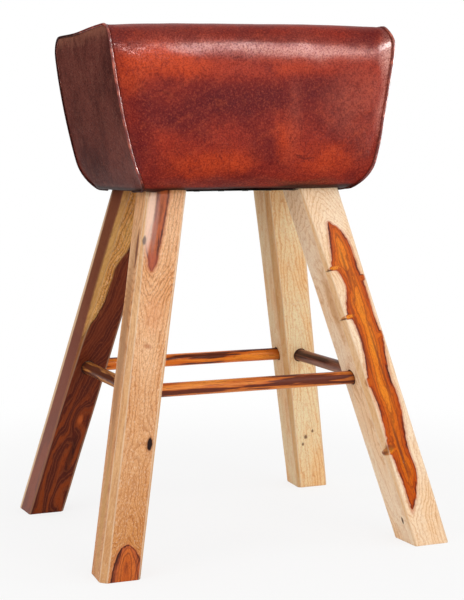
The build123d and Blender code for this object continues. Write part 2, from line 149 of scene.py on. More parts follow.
class Finish(Bench):
    """A material under construction, with the usual steps of a finish."""

    sockets = dict(
        color="Base Color",
        roughness="Roughness",
        metallic="Metallic",
        specular="Specular IOR Level",
        coat="Coat Weight",
        coat_ior="Coat IOR",
        coat_tint="Coat Tint",
        coat_roughness="Coat Roughness",
        normal="Normal",
    )

    def __init__(self, name):
        self.material = bpy.data.materials.new(name)
        self.material.use_nodes = True
        super().__init__(self.material.node_tree)
        self.tree.nodes.clear()
        self.place = self.node("ShaderNodeTexCoord", output="Object")

    def mix(self, share, first, second, blend="MIX"):
        """One colour laid over another by a share from 0 to 1."""
        first, second = [(*colour, 1) if isinstance(colour, tuple) else colour for colour in (first, second)]
        values = {0: share, 6: first, 7: second}
        return self.node("ShaderNodeMix", values, 2, data_type="RGBA", blend_type=blend, clamp_factor=True)

    def ramp(self, share, stops, interpolation="LINEAR"):
        """A colour that runs through stops, each a place from 0 to 1 and a colour."""
        made = self.node("ShaderNodeValToRGB", {"Fac": share})
        ramp = made.socket.node.color_ramp
        while len(ramp.elements) < len(stops):
            ramp.elements.new(1)
        for element, (place, colour) in zip(ramp.elements, stops):
            element.position = place
            element.color = (*colour, 1)
        ramp.interpolation = interpolation
        return made

    def mapped(self, place, location=(0, 0, 0), rotation=(0, 0, 0), scale=(1, 1, 1)):
        """The place seen from a spot, in turned axes and in units of its own."""
        values = {"Vector": place, "Location": location, "Rotation": rotation, "Scale": scale}
        return self.node("ShaderNodeMapping", values, vector_type="TEXTURE")

    def noise(self, place, scale, detail=2.0, roughness=0.5, output="Fac", stretch=None, lean=0.0):
        """Noise, which may be stretched along the axes and leaned about Y."""
        if stretch:
            place = self.mapped(place, rotation=(0, lean, 0), scale=stretch)
        values = {"Vector": place, "Scale": scale, "Detail": detail, "Roughness": roughness}
        return self.node("ShaderNodeTexNoise", values, output)

    def split(self, vector):
        first = self.node("ShaderNodeSeparateXYZ", {"Vector": vector})
        return first, first.other(1), first.other(2)

    def blot(self, place, middle, size, soft=0.5):
        """1 inside an egg-shaped spot and 0 outside, with a soft rim that is a share of its size."""
        seen = self.mapped(place, middle, scale=size)
        return self.vector_math("LENGTH", {0: seen}, "Value").smooth(1 + soft, 1 - soft)

    def shift(self, place, scale, amount, detail=2.0):
        """The place moved about by noise, for edges that wander."""
        stir = self.noise(place, scale, detail, output="Color")
        centred = self.vector_math("SUBTRACT", {0: stir, 1: (0.5, 0.5, 0.5)})
        return self.vector_math("MULTIPLY_ADD", {0: centred, 1: (2 * amount,) * 3, 2: place})

    def bump(self, height, distance, strength=1.0, under=None):
        values = {"Strength": strength, "Distance": distance, "Height": height}
        if under:
            values["Normal"] = under
        return self.node("ShaderNodeBump", values)

    def done(self, surface=None, **inputs):
        """Closes the finish, its shader's inputs under their short names, and gives the material."""
        inputs = {self.sockets[name]: value for name, value in inputs.items()}
        surface = surface or self.node("ShaderNodeBsdfPrincipled", inputs)
        self.node("ShaderNodeOutputMaterial", {"Surface": surface})
        return self.material


def speckled(name, scale, detail, first, second, roughness, spread, bump=None, stretch=None, **more):
    """A finish of two tones that a fine noise mixes, with a bump given by its distance and strength."""
    finish = Finish(name)
    fleck = finish.noise(finish.place, scale, detail, stretch=stretch)
    if bump:
        more["normal"] = finish.bump(fleck, *bump)
    color = finish.mix(fleck, tone(*first), tone(*second))
    return finish.done(color=color, roughness=roughness + fleck * spread, **more)


# Pieces


def put(name, data):
    """A new object in the scene."""
    made = bpy.data.objects.new(name, data)
    bpy.context.scene.collection.objects.link(made)
    return made


def new_piece(name, form, material=None, smooth=True):
    """A piece at the origin, its place in its mesh."""
    mesh = form
    if isinstance(form, bmesh.types.BMesh):
        mesh = bpy.data.meshes.new(name)
        form.to_mesh(mesh)
        form.free()
    mesh.name = name
    if material:
        mesh.materials.clear()
        mesh.materials.append(material)
    mesh.polygons.foreach_set("use_smooth", [smooth] * len(mesh.polygons))
    return put(name, mesh)


def fit(piece, slot, *nodes):
    """Puts a piece on the stool, in the place of the CAD nodes that it stands for."""
    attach(piece, "root")
    if nodes:
        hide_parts(*nodes)
    return piece


def finished_mesh(piece):
    """The piece's mesh with its modifiers carried out."""
    evaluated = piece.evaluated_get(bpy.context.evaluated_depsgraph_get())
    return bpy.data.meshes.new_from_object(evaluated)


def carry_out(piece):
    """Puts the finished mesh in the place of the piece's modifiers."""
    mesh = finished_mesh(piece)
    piece.modifiers.clear()
    piece.data = mesh
    return piece


def thicken(piece, thickness, offset):
    thick = piece.modifiers.new("thick", "SOLIDIFY")
    thick.thickness, thick.offset = thickness, offset
    return carry_out(piece)


def flat_grid(columns, rows, size=1):
    bm = bmesh.new()
    bmesh.ops.create_grid(bm, x_segments=columns, y_segments=rows, size=size)
    return bm


def bridge(bm, loops):
    """Faces between each closed loop of points and the next."""
    for lower, upper in zip(loops, loops[1:]):
        for n in range(len(lower)):
            m = (n + 1) % len(lower)
            bm.faces.new((lower[n], lower[m], upper[m], upper[n]))


# The legs: sizes in metres, as in the CAD

foot_length, foot_depth = 0.507, 0.431
head_length, head_depth = 0.250, 0.142
seat_underside, leg_head = 0.553, 0.5661
leg_timber, leg_planing, soft_edge = 0.059, 0.009, 0.0011
rung_radius, socket_radius, tenon_radius, tenon_length = 0.0105, 0.0121, 0.0064, 0.015

stations = (0, 0.35, 0.7, 1)


class Leg:
    """A square timber that leans two ways.

    side and end say at which corner it stands. widths and depths are its sizes at foot and head, as
    shares of the timber. shift moves its head, and planing is the plane's cut on its four corners at
    each station."""

    def __init__(self, side, end, widths, depths, shift, planing):
        self.side, self.end, self.widths, self.depths, self.planing = side, end, widths, depths, planing
        self.foot = Vector((side * foot_length / 2, end * foot_depth / 2, 0))
        head_x = side * head_length / 2 + shift[0] * leg_timber
        head_y = end * head_depth / 2 + shift[1] * leg_timber
        self.along = (Vector((head_x, head_y, seat_underside)) - self.foot).normalized()
        across = self.along.cross(Vector((1, 0, 0))).normalized()
        self.across = across.cross(self.along)
        self.deep = self.along.cross(self.across)
        self.length = seat_underside / self.along.z
        self.top = self.foot + self.along * self.length
        self.axes = Matrix((self.across, self.deep, self.along)).transposed()

    def size(self, share):
        """Width and depth of the timber at a share of its length."""
        return [leg_timber * (foot + (head - foot) * share) for foot, head in (self.widths, self.depths)]

    def cuts(self, share):
        """Depth of the plane's cut on each corner, a little uneven as a hand leaves it."""
        share = min(share, 1)
        depths = []
        for corner in range(4):
            for low, high, first, second in zip(stations, stations[1:], self.planing, self.planing[1:]):
                if low <= share <= high:
                    part = (share - low) / (high - low)
                    cut = first[corner] + (second[corner] - first[corner]) * part
            wander = noise.noise(Vector((share * 9, corner * 3.7, self.side + 2 * self.end)))
            depths.append(leg_planing * max(cut + 0.10 * wander, 0.14))
        return depths

    def section(self, share):
        """Points round the planed square, each with how much it lies on planed wood and on an edge."""
        width, depth = self.size(share)
        x, y = width / 2, depth / 2
        a, b, c, d = self.cuts(share)
        corners = [(-x, -y + a), (-x + a, -y), (x - b, -y), (x, -y + b)]
        corners += [(x, y - c), (x - c, y), (-x + d, y), (-x, y - d)]
        corners = [Vector(corner) for corner in corners]
        points = []
        for place, corner in enumerate(corners):
            before, after = corners[place - 1] - corner, corners[(place + 1) % 8] - corner
            planed_before, planed_after = place % 2, 1 - place % 2
            back = before.normalized() * min(soft_edge, 0.3 * before.length)
            on = after.normalized() * min(soft_edge, 0.3 * after.length)
            near, far = corner + back, corner + on
            points.append((near + back * 0.6, planed_before, 0))
            points.append((near, planed_before, 0.6))
            points.append((near * 0.25 + corner * 0.5 + far * 0.25, 1, 1))
            points.append((far, planed_after, 0.6))
            start, stop = far + on * 0.6, corners[(place + 1) % 8] - on * 1.6
            steps = 2 if planed_after else 6
            points += [(start + (stop - start) * step / steps, planed_after, 0) for step in range(steps)]
        return points

    def form(self):
        """The leg from the floor to the block's base board, its ends cut level, its foot's rim eased."""
        bm = bmesh.new()
        planed = bm.verts.layers.float.new("planed")
        arris = bm.verts.layers.float.new("arris")
        rim, count = 0.002, 94
        rows = [(0, 0.0012), (0.0007, 0.0003), (rim, 0)]
        rows += [(rim + (1 - rim) * n / count, 0) for n in range(1, count + 1)]
        loops = []
        for share, drawn_in in rows:
            loop = []
            for point, planed_share, arris_share in self.section(share):
                ripple = 0.00022 * noise.noise(Vector((point.x * 40, point.y * 40, share * 7 + self.side)))
                point = point * (1 - (drawn_in - ripple) / point.length)
                flat = self.foot + self.across * point.x + self.deep * point.y
                low, high = -flat.z / self.along.z, (leg_head - flat.z) / self.along.z
                vert = bm.verts.new(flat + self.along * (low + (high - low) * share))
                vert[planed], vert[arris] = planed_share, arris_share
                loop.append(vert)
            loops.append(loop)
        bridge(bm, loops)
        bm.faces.new(loops[0][::-1])
        bm.faces.new(loops[-1])
        bmesh.ops.recalc_face_normals(bm, faces=bm.faces)
        return bm


legs = {
    "leg_front_left": Leg(
        -1, -1, (1.0, 1.06), (1.0, 1.03), (-0.04, 0.02),
        ((1.0, 0.3, 0.4, 0.3), (1.0, 0.5, 0.2, 0.4), (0.85, 0.4, 0.3, 0.6), (0.2, 0.2, 0.5, 0.3)),
    ),
    "leg_front_right": Leg(
        1, -1, (1.0, 1.13), (1.02, 1.06), (-0.03, -0.06),
        ((0.2, 0.3, 0.6, 0.3), (0.9, 0.2, 0.5, 0.4), (0.8, 0.25, 0.3, 0.6), (0.3, 0.2, 0.2, 0.5)),
    ),
    "leg_rear_left": Leg(
        -1, 1, (1.0, 1.03), (1.02, 0.98), (0.08, 0.04),
        ((0.15, 0.4, 0.3, 0.8), (0.2, 0.3, 0.5, 0.7), (0.9, 0.3, 0.4, 0.4), (1.1, 0.2, 0.3, 0.2)),
    ),
    "leg_rear_right": Leg(
        1, 1, (0.96, 1.09), (1.0, 1.0), (0.03, -0.08),
        ((0.5, 0.3, 0.7, 0.4), (0.9, 0.4, 0.5, 0.3), (1.0, 0.3, 0.3, 0.5), (0.8, 0.2, 0.4, 0.3)),
    ),
}


# The rungs lie where the CAD has them. Each joins two legs, along X or along Y.

rungs = {
    "rung_front": ("leg_front_left", "leg_front_right", 0),
    "rung_rear": ("leg_rear_left", "leg_rear_right", 0),
    "rung_left": ("leg_front_left", "leg_rear_left", 1),
    "rung_right": ("leg_front_right", "leg_rear_right", 1),
}


def rung_ends(name):
    """The two shoulders of a rung and the direction from the first to the second."""
    low, high = (Vector(corner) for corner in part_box(name))
    axis = rungs[name][2]
    direction = Vector((1 - axis, axis, 0))
    middle = (low + high) / 2
    half = (high - low).dot(direction) / 2 - tenon_length
    return middle - direction * half, middle + direction * half, direction


def round_bar(bm, start, direction, profile, sides, uneven, seed):
    """A closed turned form: rings at distances along a direction, each with its radius."""
    side = direction.orthogonal().normalized()
    up = direction.cross(side)
    rings = []
    for distance, radius in profile:
        ring = []
        for n in range(sides):
            angle = 2 * pi * n / sides
            spoke = side * cos(angle) + up * sin(angle)
            wander = noise.noise(Vector((cos(angle) * 1.2, sin(angle) * 1.2 + seed, distance * 18)))
            ring.append(bm.verts.new(start + direction * distance + spoke * radius * (1 + uneven * wander)))
        rings.append(ring)
    bridge(bm, rings)
    for ring in (rings[0], rings[-1]):
        hub = bm.verts.new(sum((vert.co for vert in ring), Vector()) / sides)
        for n in range(sides):
            bm.faces.new((ring[n], ring[(n + 1) % sides], hub))
    bmesh.ops.recalc_face_normals(bm, faces=bm.faces)


def cut_sockets(piece, name):
    """Bores the two shallow sockets that the rungs sit in."""
    bm = bmesh.new()
    for rung, (first, second, _) in rungs.items():
        if name in (first, second):
            start, stop, direction = rung_ends(rung)
            here, away = (start, direction) if name == first else (stop, -direction)
            round_bar(bm, here, away, [(0, socket_radius), (0.03, socket_radius)], 48, 0.012, start.y)
    cutter = new_piece(f"{name}_cutter", bm)
    boolean = piece.modifiers.new("sockets", "BOOLEAN")
    boolean.operation, boolean.solver, boolean.object = "DIFFERENCE", "EXACT", cutter
    carry_out(piece)
    bpy.data.objects.remove(cutter)
    piece.data.set_sharp_from_angle(angle=radians(40))


# Lacquered sheesham: pale sapwood round red-brown heartwood, with growth rings that follow its edge


def sheesham(
    name,
    course,
    sapwood,
    heartwood,
    planed_tone,
    marks=(),
    spurs=(),
    wander=0.0012,
    flame=None,
    foot=None,
    worn_edge=0.35,
):
    """Solid wood in the axes of the leg that it's named for. Places and sizes are in millimetres.

    course gives, at heights up the leg, the middle of the heartwood across the front face and how far
    it reaches to each side; below zero it stays under the surface. heartwood gives tones by the depth
    under its edge, in units of 30 mm. marks are knots and stains, each a middle, a size, a tone, a
    strength and a softness; the pale streak at the top of the front left leg is a painted highlight.
    spurs are places where the heartwood's edge juts out, each a middle, a size and the reach that it
    gains. flame is a tone that licks up through the heartwood, and foot one that the sapwood turns to
    lower down. planed_tone is the tone of the planed corners, partly their heavier
    lacquer and partly painted light and shade from the way they face. worn_edge says how
    pale the painted highlight along the eased edges is."""
    leg = legs[name]
    finish = Finish(name.replace("leg", "sheesham"))
    own = finish.mapped(finish.place, leg.foot, leg.axes.to_euler())
    stirred = finish.shift(own, 230.0, 0.0011, 3.0)
    x, y, z = finish.split(own)
    tall, wide = 0.6, 0.32
    line = [
        (height / tall, (middle / wide + 0.5, width / wide + 0.5, 0))
        for height, middle, width in (mm(*row) for row in course)
    ]
    here = finish.ramp(z / tall, line, "CARDINAL")
    middle_x, half_width, _ = [part * wide - wide / 2 for part in finish.split(here)]
    wave = finish.noise(own, 55.0, 3.0, stretch=(1, 1, 4)) - 0.5
    ripple = finish.noise(own, 210.0, 3.0, stretch=(1, 1, 1.5)) - 0.5
    off_x, off_y = x - middle_x, (y + leg_timber / 2) * 0.5
    away = (off_x * off_x + off_y * off_y + 0.003**2) ** 0.5 - 0.001
    under = half_width - away + wave * 0.004 + ripple * (2 * wander)
    for middle, size, gain in spurs:
        under = under + finish.blot(stirred, mm(*middle), mm(*size), 0.7) * (gain / 1000)

    # Growth rings, then the fine lengthwise fleck of the pores
    band = ((under + wave * 0.016 + 1.0) / 0.0060).math("FRACT")
    late = band.smooth(0.50, 0.88) * (1 - band.smooth(0.92, 1.0))
    curl = finish.shift(own, 20.0, 0.006, 1.0)
    fleck = finish.noise(curl, 760.0, 3.0, 0.7, stretch=(1, 1, 2.6))
    streak = finish.noise(curl, 300.0, 3.0, 0.6, stretch=(1, 1, 20))
    pores = finish.noise(own, 1500.0, 1.0, stretch=(1, 1, 10)).smooth(0.60, 0.70)
    cloud = finish.noise(own, 24.0, 3.0, stretch=(1, 1, 3)).smooth(0.36, 0.66)

    pale, warm, deep = sapwood
    sap = finish.mix(cloud, pale, warm)
    if foot:
        sap = sap.glazed((z + wave * 0.15).smooth(0.38, 0.02) * 0.7, foot)
    sap = sap.glazed(late * (0.34 + cloud * 0.44), deep)
    sap = sap.glazed(streak.smooth(0.48, 0.72) * 0.25, deep)
    sap = sap.glazed(fleck.smooth(0.49, 0.68) * 0.60, deep)
    sap = sap.glazed(fleck.smooth(0.47, 0.28) * 0.50, tone(252, 236, 214))
    heart = finish.ramp(under / 0.03 + (streak - 0.5) * 0.50 + wave * 0.35, heartwood)
    dark, red = heartwood[1][1], heartwood[2][1]
    if flame:
        tongue = finish.noise(own, 45.0, 3.0, 0.6, stretch=(1, 1, 5))
        lick = (under * 300.0 + wave * 6.0 + tongue * 8.0 + streak * 2.0).math("SINE")
        lick = lick.smooth(-0.2, 0.9) * under.smooth(0.012, 0.035)
        heart = heart.glazed(lick * (0.10 + 0.36 * z.smooth(0.30, 0.14)), flame)
    heart = heart.glazed(late * 0.62, dark)
    heart = heart.glazed(streak.smooth(0.54, 0.68) * 0.45, red)
    heart = heart.glazed(fleck.smooth(0.50, 0.70) * 0.45, dark)
    inside = under.smooth(-0.0007, 0.0003)
    wood = finish.mix(inside, sap, heart)
    halo = under.smooth(-0.005, -0.0005) * (1 - under.smooth(-0.0005, 0.0005))
    wood = wood.glazed(halo * 0.5, red)
    wood = wood.glazed(pores * (0.18 + inside * 0.27), tone(150, 96, 62), "MULTIPLY")

    planed = finish.node("ShaderNodeAttribute", output="Fac", attribute_name="planed")
    arris = finish.node("ShaderNodeAttribute", output="Fac", attribute_name="arris")
    # The planed corners take their own tone: partly their heavier lacquer, partly painted light and shade
    # from the way they face.
    wood = wood.glazed(planed * 0.55, finish.mix(streak.smooth(0.3, 0.7) * 0.5, planed_tone, deep))
    # A painted highlight along the eased edges.
    wood = wood.glazed(arris * worn_edge, tone(250, 232, 205))
    for middle, size, colour, strength, soft in marks:
        wood = wood.glazed(finish.blot(stirred, mm(*middle), mm(*size), soft) * strength, tone(*colour))
    return finish.done(
        color=wood,
        roughness=0.36 + fleck * 0.12 + pores * 0.15,
        specular=0.07,
        coat=0.03,
        coat_roughness=0.25,
        normal=finish.bump(streak * 0.5 + fleck * 0.5 - pores, 0.00025, 0.35),
    )


def stops(*rows):
    return [(place, tone(*parts)) for place, *parts in rows]


blush = (tone(244, 192, 144), tone(232, 166, 108), tone(168, 96, 46))
ivory = (tone(255, 230, 198), tone(250, 210, 166), tone(218, 164, 114))
honey = (tone(255, 234, 188), tone(255, 212, 154), tone(230, 160, 98))
golden = (tone(236, 178, 100), tone(212, 144, 72), tone(116, 66, 28))
ember = stops(
    (0.00, 62, 20, 8), (0.03, 136, 46, 8), (0.10, 190, 76, 6), (0.36, 220, 108, 10), (0.68, 246, 150, 34)
)
russet = stops(
    (0.00, 64, 34, 28), (0.05, 112, 50, 32), (0.13, 188, 94, 50), (0.34, 212, 110, 46), (0.70, 186, 84, 30)
)
dusk = stops(
    (0.00, 30, 10, 8), (0.10, 126, 62, 34), (0.24, 84, 32, 20), (0.60, 112, 48, 26), (1.00, 84, 32, 20)
)

leg_looks = {
    "leg_front_left": dict(
        course=(
            (0, 7, 21.5), (18, 7, 19.5), (32, 6, 15), (41, 5, 9), (47, 4, 0), (60, 3, -7), (110, 3, -24),
            (200, 0, -33), (320, -4, -33), (410, -8, -20), (448, -9, -2), (456, -10, 3.5), (468, -10, 7),
            (482, -12, 9.5), (502, -11, 10.5), (530, -7, 8.5), (567, -5.5, 9),
        ),
        sapwood=blush,
        heartwood=russet,
        planed_tone=tone(228, 186, 136),
        marks=(
            # A pale streak by the left edge at the top is a painted highlight.
            ((-21, -30, 535), (6, 10, 55), (252, 214, 192), 0.75, 0.4),
            ((-12, -30, 525), (4, 10, 45), (176, 128, 116), 0.55, 0.5),
            ((-10, -30, 466), (8, 10, 14), (176, 84, 64), 0.50, 0.6),
            ((-26, -30, 496), (2.5, 6, 7), (104, 92, 92), 0.80, 0.4),
            ((19, -30, 194), (5.2, 6, 11.5), (150, 88, 54), 0.70, 0.4),
            ((19, -30, 194), (3.8, 6, 9.5), (34, 12, 8), 1.00, 0.2),
            ((-30, 2, 110), (8, 12, 100), (196, 146, 72), 0.55, 0.6),
            ((-1.7, -30, 337), (6, 6, 3.5), (176, 100, 60), 0.60, 0.6),
            ((2, -30, 385), (13, 10, 26), (222, 136, 80), 0.35, 0.7),
            ((-30, -12, 484), (8, 6, 28), (112, 62, 48), 0.85, 0.3),
            ((-31, 4, 340), (7, 16, 150), (166, 116, 78), 0.70, 0.6),
        ),
        spurs=(
            ((19, -30, 194), (12, 30, 26), 10),
            ((4, -30, 150), (22, 30, 30), 7),
            ((-2, -30, 337), (10, 30, 24), 9),
            ((4, -30, 80), (18, 30, 16), 6),
        ),
        foot=tone(204, 132, 62),
    ),
    "leg_front_right": dict(
        course=(
            (36, -15.7, -6), (50, -15.7, 0), (57, -13.1, 2.7), (70, -9.5, 6.5), (90, -5.5, 10),
            (109, -2.8, 13.7), (146, -4.4, 14.6), (170, -3, 16), (195, 0, 17.2), (230, 1.5, 18.6),
            (263, -0.5, 19), (294, 3.4, 18.2), (317, 6.5, 18.6), (340, 7.4, 17.6), (361, 5.2, 17.7),
            (376, 4.6, 18.8), (392, 4.2, 19.2), (417, 9, 15.5), (440, 6.4, 16.2), (460, 2.7, 18.8),
            (478, 3.5, 17), (496, 3.2, 13.7), (507, 2.2, 10.2), (518, -1.5, 4.5), (528, -4, -3),
            (590, -6, -30),
        ),
        sapwood=ivory,
        heartwood=ember,
        planed_tone=tone(200, 152, 96),
        marks=(
            ((-26, -31, 450), (5, 10, 1.4), (52, 16, 8), 0.80, 0.5),
            ((-28, -31, 370.2), (5.5, 10, 1.4), (52, 16, 8), 0.80, 0.5),
            ((-31, -31, 151.5), (7, 10, 3.8), (108, 56, 36), 0.85, 0.4),
            ((-20, -31, 157), (7, 10, 5), (96, 34, 20), 0.60, 0.6),
            ((-10, -31, 330), (2, 10, 60), (120, 46, 16), 0.70, 0.6),
            ((9, -31, 280), (1.8, 10, 70), (120, 46, 16), 0.70, 0.6),
            ((-4, -31, 150), (2, 10, 50), (112, 42, 16), 0.70, 0.6),
            ((2, -31, 440), (2, 10, 40), (120, 46, 16), 0.60, 0.6),
            ((-30, -14.7, 41.6), (8, 2.6, 5.5), (84, 48, 28), 0.95, 0.3),
            ((-31, -14, 400), (6, 10, 50), (196, 136, 76), 0.60, 0.6),
        ),
        spurs=(
            ((-20.5, -31, 451.5), (10, 10, 2.6), 24),
            ((-22.5, -31, 371.5), (11, 10, 2.8), 26),
            ((-27, -31, 152.5), (11, 10, 4.6), 24),
            ((-16, -31, 455), (6, 10, 7), 5),
            ((-17, -31, 376), (6, 10, 8), 5),
            ((-20, -31, 159), (6, 10, 8), 6),
            ((-22, -31, 264), (6, 10, 6), 6),
            ((27, -31, 425), (6, 10, 4), 8),
            ((27, -31, 330), (6, 10, 5), 8),
        ),
        wander=0.0018,
    ),
    "leg_rear_left": dict(
        course=(
            (0, 30, 120), (290, 30, 80), (327, 30, 60), (360, 30, 48.5), (393, 30, 39), (434, 30, 35.5),
            (464, 30, 34), (487, 30, 24), (567, 32, 16),
        ),
        sapwood=golden,
        heartwood=dusk,
        planed_tone=tone(166, 112, 64),
        marks=(
            ((10, -30, 186), (4, 10, 8), (196, 98, 44), 0.60, 0.6),
            ((12, -30, 120), (5, 10, 30), (40, 14, 12), 0.60, 0.6),
            ((-30.5, 3, 460), (2.2, 60, 300), (112, 56, 38), 0.95, 0.35),
            ((-30, 3, 100), (2.6, 60, 240), (152, 98, 84), 0.55, 0.6),
            ((-26, -28, 470), (6, 8, 110), (226, 180, 104), 0.30, 0.6),
            ((-30, 25, 200), (6, 11, 360), (230, 194, 156), 0.90, 0.2),
        ),
        spurs=(
            ((8, -30, 190), (16, 30, 24), 20),
            ((-10, -30, 120), (16, 30, 40), 16),
            ((4, -30, 50), (20, 30, 34), 14),
        ),
        wander=0.0010,
        flame=tone(176, 78, 24),
        worn_edge=0.12,
    ),
    "leg_rear_right": dict(
        course=((0, 3, -8), (300, 0, -30), (590, -6, -56)),
        sapwood=honey,
        heartwood=russet,
        planed_tone=tone(188, 136, 76),
        marks=(
            ((-4, -29, 115), (3, 5, 4), (104, 62, 40), 0.85, 0.5),
            ((10, -29, 123), (2, 4, 3), (104, 62, 40), 0.85, 0.5),
            ((-11, -29, 102), (2, 4, 3), (104, 62, 40), 0.85, 0.5),
            ((-31, 0, 300), (8, 40, 400), (186, 138, 92), 0.35, 0.6),
        ),
    ),
}

for name, look in leg_looks.items():
    piece = new_piece(f"timber_{name}", legs[name].form(), sheesham(name, **look))
    cut_sockets(piece, name)
    fit(piece, "leg_timber", name)


def rung_wood(name, pale, warm, dark, dark_share, painted_end_shade=None):
    """Streaked heartwood of a rung, the streaks along its length. painted_end_shade is painted shade near
    the end where the rung goes into a leg, a middle and a size in millimetres and a strength."""
    finish = Finish(name.replace("rung", "rosewood"))
    along = finish.mapped(finish.place, scale=(16, 1, 1) if rungs[name][2] == 0 else (1, 16, 1))
    stirred = finish.shift(along, 120.0, 0.0015)
    broad = finish.noise(stirred, 120.0, 3.0, 0.55)
    fine = finish.noise(along, 520.0, 3.0, 0.6)
    wood = finish.ramp(broad + fine * 0.25 - 0.125, stops((0.32, *dark), (0.46, *warm), (0.66, *pale)))
    wood = wood.glazed(broad.smooth(0.60 - dark_share, 0.54 - dark_share), tone(*dark))
    pores = finish.noise(along, 1300.0, 1.0).smooth(0.60, 0.70)
    wood = wood.glazed(pores * 0.5, tone(60, 30, 24), "MULTIPLY")
    # Painted shade where the rung goes into a leg.
    if painted_end_shade:
        middle, size, strength = painted_end_shade
        spot = finish.blot(finish.place, mm(*middle), mm(*size), 0.6)
        wood = wood.glazed(spot * strength, tone(66, 26, 20))
    return finish.done(
        color=wood,
        roughness=0.32 + fine * 0.16,
        specular=0.14,
        coat=0.06,
        coat_roughness=0.2,
        normal=finish.bump(fine - pores, 0.0002, 0.35),
    )


rung_looks = {
    "rung_front": (
        (240, 148, 62), (196, 94, 36), (104, 44, 24), 0.09, ((200, -150, 257), (50, 20, 20), 0.8)
    ),
    "rung_rear": ((255, 150, 46), (218, 104, 26), (96, 38, 14), 0.12, ((190, 150, 257), (50, 20, 20), 0.7)),
    "rung_left": ((208, 144, 74), (164, 98, 46), (92, 44, 24), 0.10, ((-190, 125, 257), (20, 20, 20), 0.6)),
    "rung_right": ((150, 96, 72), (106, 58, 42), (64, 32, 26), 0.16),
}

for name, look in rung_looks.items():
    start, stop, direction = rung_ends(name)
    length = (stop - start).length
    tenon = [(-tenon_length, tenon_radius - 0.0006), (-tenon_length + 0.001, tenon_radius), (0, tenon_radius)]
    shoulder = [(0, rung_radius - 0.0012), (0.0005, rung_radius - 0.0003), (0.0015, rung_radius)]
    shaft = [(0.0015 + (length - 0.003) * n / 60, rung_radius) for n in range(1, 60)]
    far_end = [(length - distance, radius) for distance, radius in (tenon + shoulder)[::-1]]
    bm = bmesh.new()
    seed = start.x * 9 + start.y * 5
    round_bar(bm, start, direction, tenon + shoulder + shaft + far_end, 40, 0.02, seed)
    piece = new_piece(f"round_{name}", bm, rung_wood(name, *look))
    piece.data.set_sharp_from_angle(angle=radians(50))
    fit(piece, "rung_timber", name)


# Geometry Nodes: one tree makes each thing that repeats or follows a path


class Jig(Bench):
    """A Geometry Nodes tree with named sizes, run on a starting object."""

    def __init__(self, name, sizes):
        super().__init__(bpy.data.node_groups.new(name, "GeometryNodeTree"))
        faces = self.tree.interface
        faces.new_socket("Geometry", in_out="INPUT", socket_type="NodeSocketGeometry")
        for size, value in sizes.items():
            kind = "NodeSocketInt" if isinstance(value, int) else "NodeSocketFloat"
            faces.new_socket(size, in_out="INPUT", socket_type=kind)
        faces.new_socket("Geometry", in_out="OUTPUT", socket_type="NodeSocketGeometry")
        self.sizes = sizes
        self.start = self.node("NodeGroupInput", output="Geometry")

    def size(self, name):
        return self.start.other(name)

    def facing(self):
        """The way that each seed point faces."""
        return self.node("GeometryNodeInputNamedAttribute", {"Name": "facing"}, data_type="FLOAT_VECTOR")

    def circle(self, sides, radius):
        return self.node("GeometryNodeCurvePrimitiveCircle", {"Resolution": sides, "Radius": radius})

    def tube(self, path, section, capped=False):
        values = {"Curve": path, "Profile Curve": section, "Fill Caps": capped}
        return self.node("GeometryNodeCurveToMesh", values)

    def stirred(self, geometry, scale):
        """The points moved about evenly, as far as the size Stir and as the size Seed has it."""
        place = self.node("GeometryNodeInputPosition")
        values = {"Vector": place, "W": self.size("Seed"), "Scale": scale}
        stir = self.node("ShaderNodeTexNoise", values, "Color", noise_dimensions="4D")
        centred = self.vector_math("SUBTRACT", {0: stir, 1: (0.5, 0.5, 0.5)})
        offset = self.vector_math("SCALE", {0: centred, "Scale": self.size("Stir")})
        return self.node("GeometryNodeSetPosition", {"Geometry": geometry, "Offset": offset})

    def box(self, length, width, height, middle):
        """A small block whose middle stands at a place."""
        block = self.node("GeometryNodeMeshCube", {"Size": self.vector(length, width, height)}, "Mesh")
        return self.node("GeometryNodeTransform", {"Geometry": block, "Translation": middle})

    def placed(self, points, thing, facing, axis="Z"):
        """The thing on every point, with one of its axes the way that the point faces."""
        turn = self.node("FunctionNodeAlignRotationToVector", {"Vector": facing}, axis=axis)
        values = {"Points": points, "Instance": thing, "Rotation": turn}
        return self.node("GeometryNodeInstanceOnPoints", values)

    def real(self, geometry):
        return self.node("GeometryNodeRealizeInstances", {"Geometry": geometry})

    def run(self, name, start, geometry, material, smooth=True):
        """Closes the tree, runs it on the starting object and keeps the result as a plain mesh."""
        values = {"Geometry": self.real(geometry), "Material": material}
        self.node("NodeGroupOutput", {0: self.node("GeometryNodeSetMaterial", values)})
        modifier = start.modifiers.new(self.tree.name, "NODES")
        modifier.node_group = self.tree
        for item in self.tree.interface.items_tree:
            if item.in_out == "INPUT" and item.name in self.sizes:
                modifier[item.identifier] = self.sizes[item.name]
        mesh = finished_mesh(start)
        bpy.data.objects.remove(start)
        return new_piece(name, mesh, material, smooth)


def seed_points(name, places, facings):
    """A starting object of loose points, each with the way it faces."""
    mesh = bpy.data.meshes.new(name)
    mesh.from_pydata(places, [], [])
    facing = mesh.attributes.new("facing", "FLOAT_VECTOR", "POINT")
    facing.data.foreach_set("vector", [part for way in facings for part in way])
    return put(name, mesh)


def path_curve(name, points):
    """A starting object of one smooth path."""
    curve = bpy.data.curves.new(name, "CURVE")
    curve.dimensions = "3D"
    spline = curve.splines.new("POLY")
    spline.points.add(len(points) - 1)
    for point, place in zip(spline.points, points):
        point.co = (*place, 1)
    return put(name, curve)


# Rings of dark filler in the sockets, between rung and leg

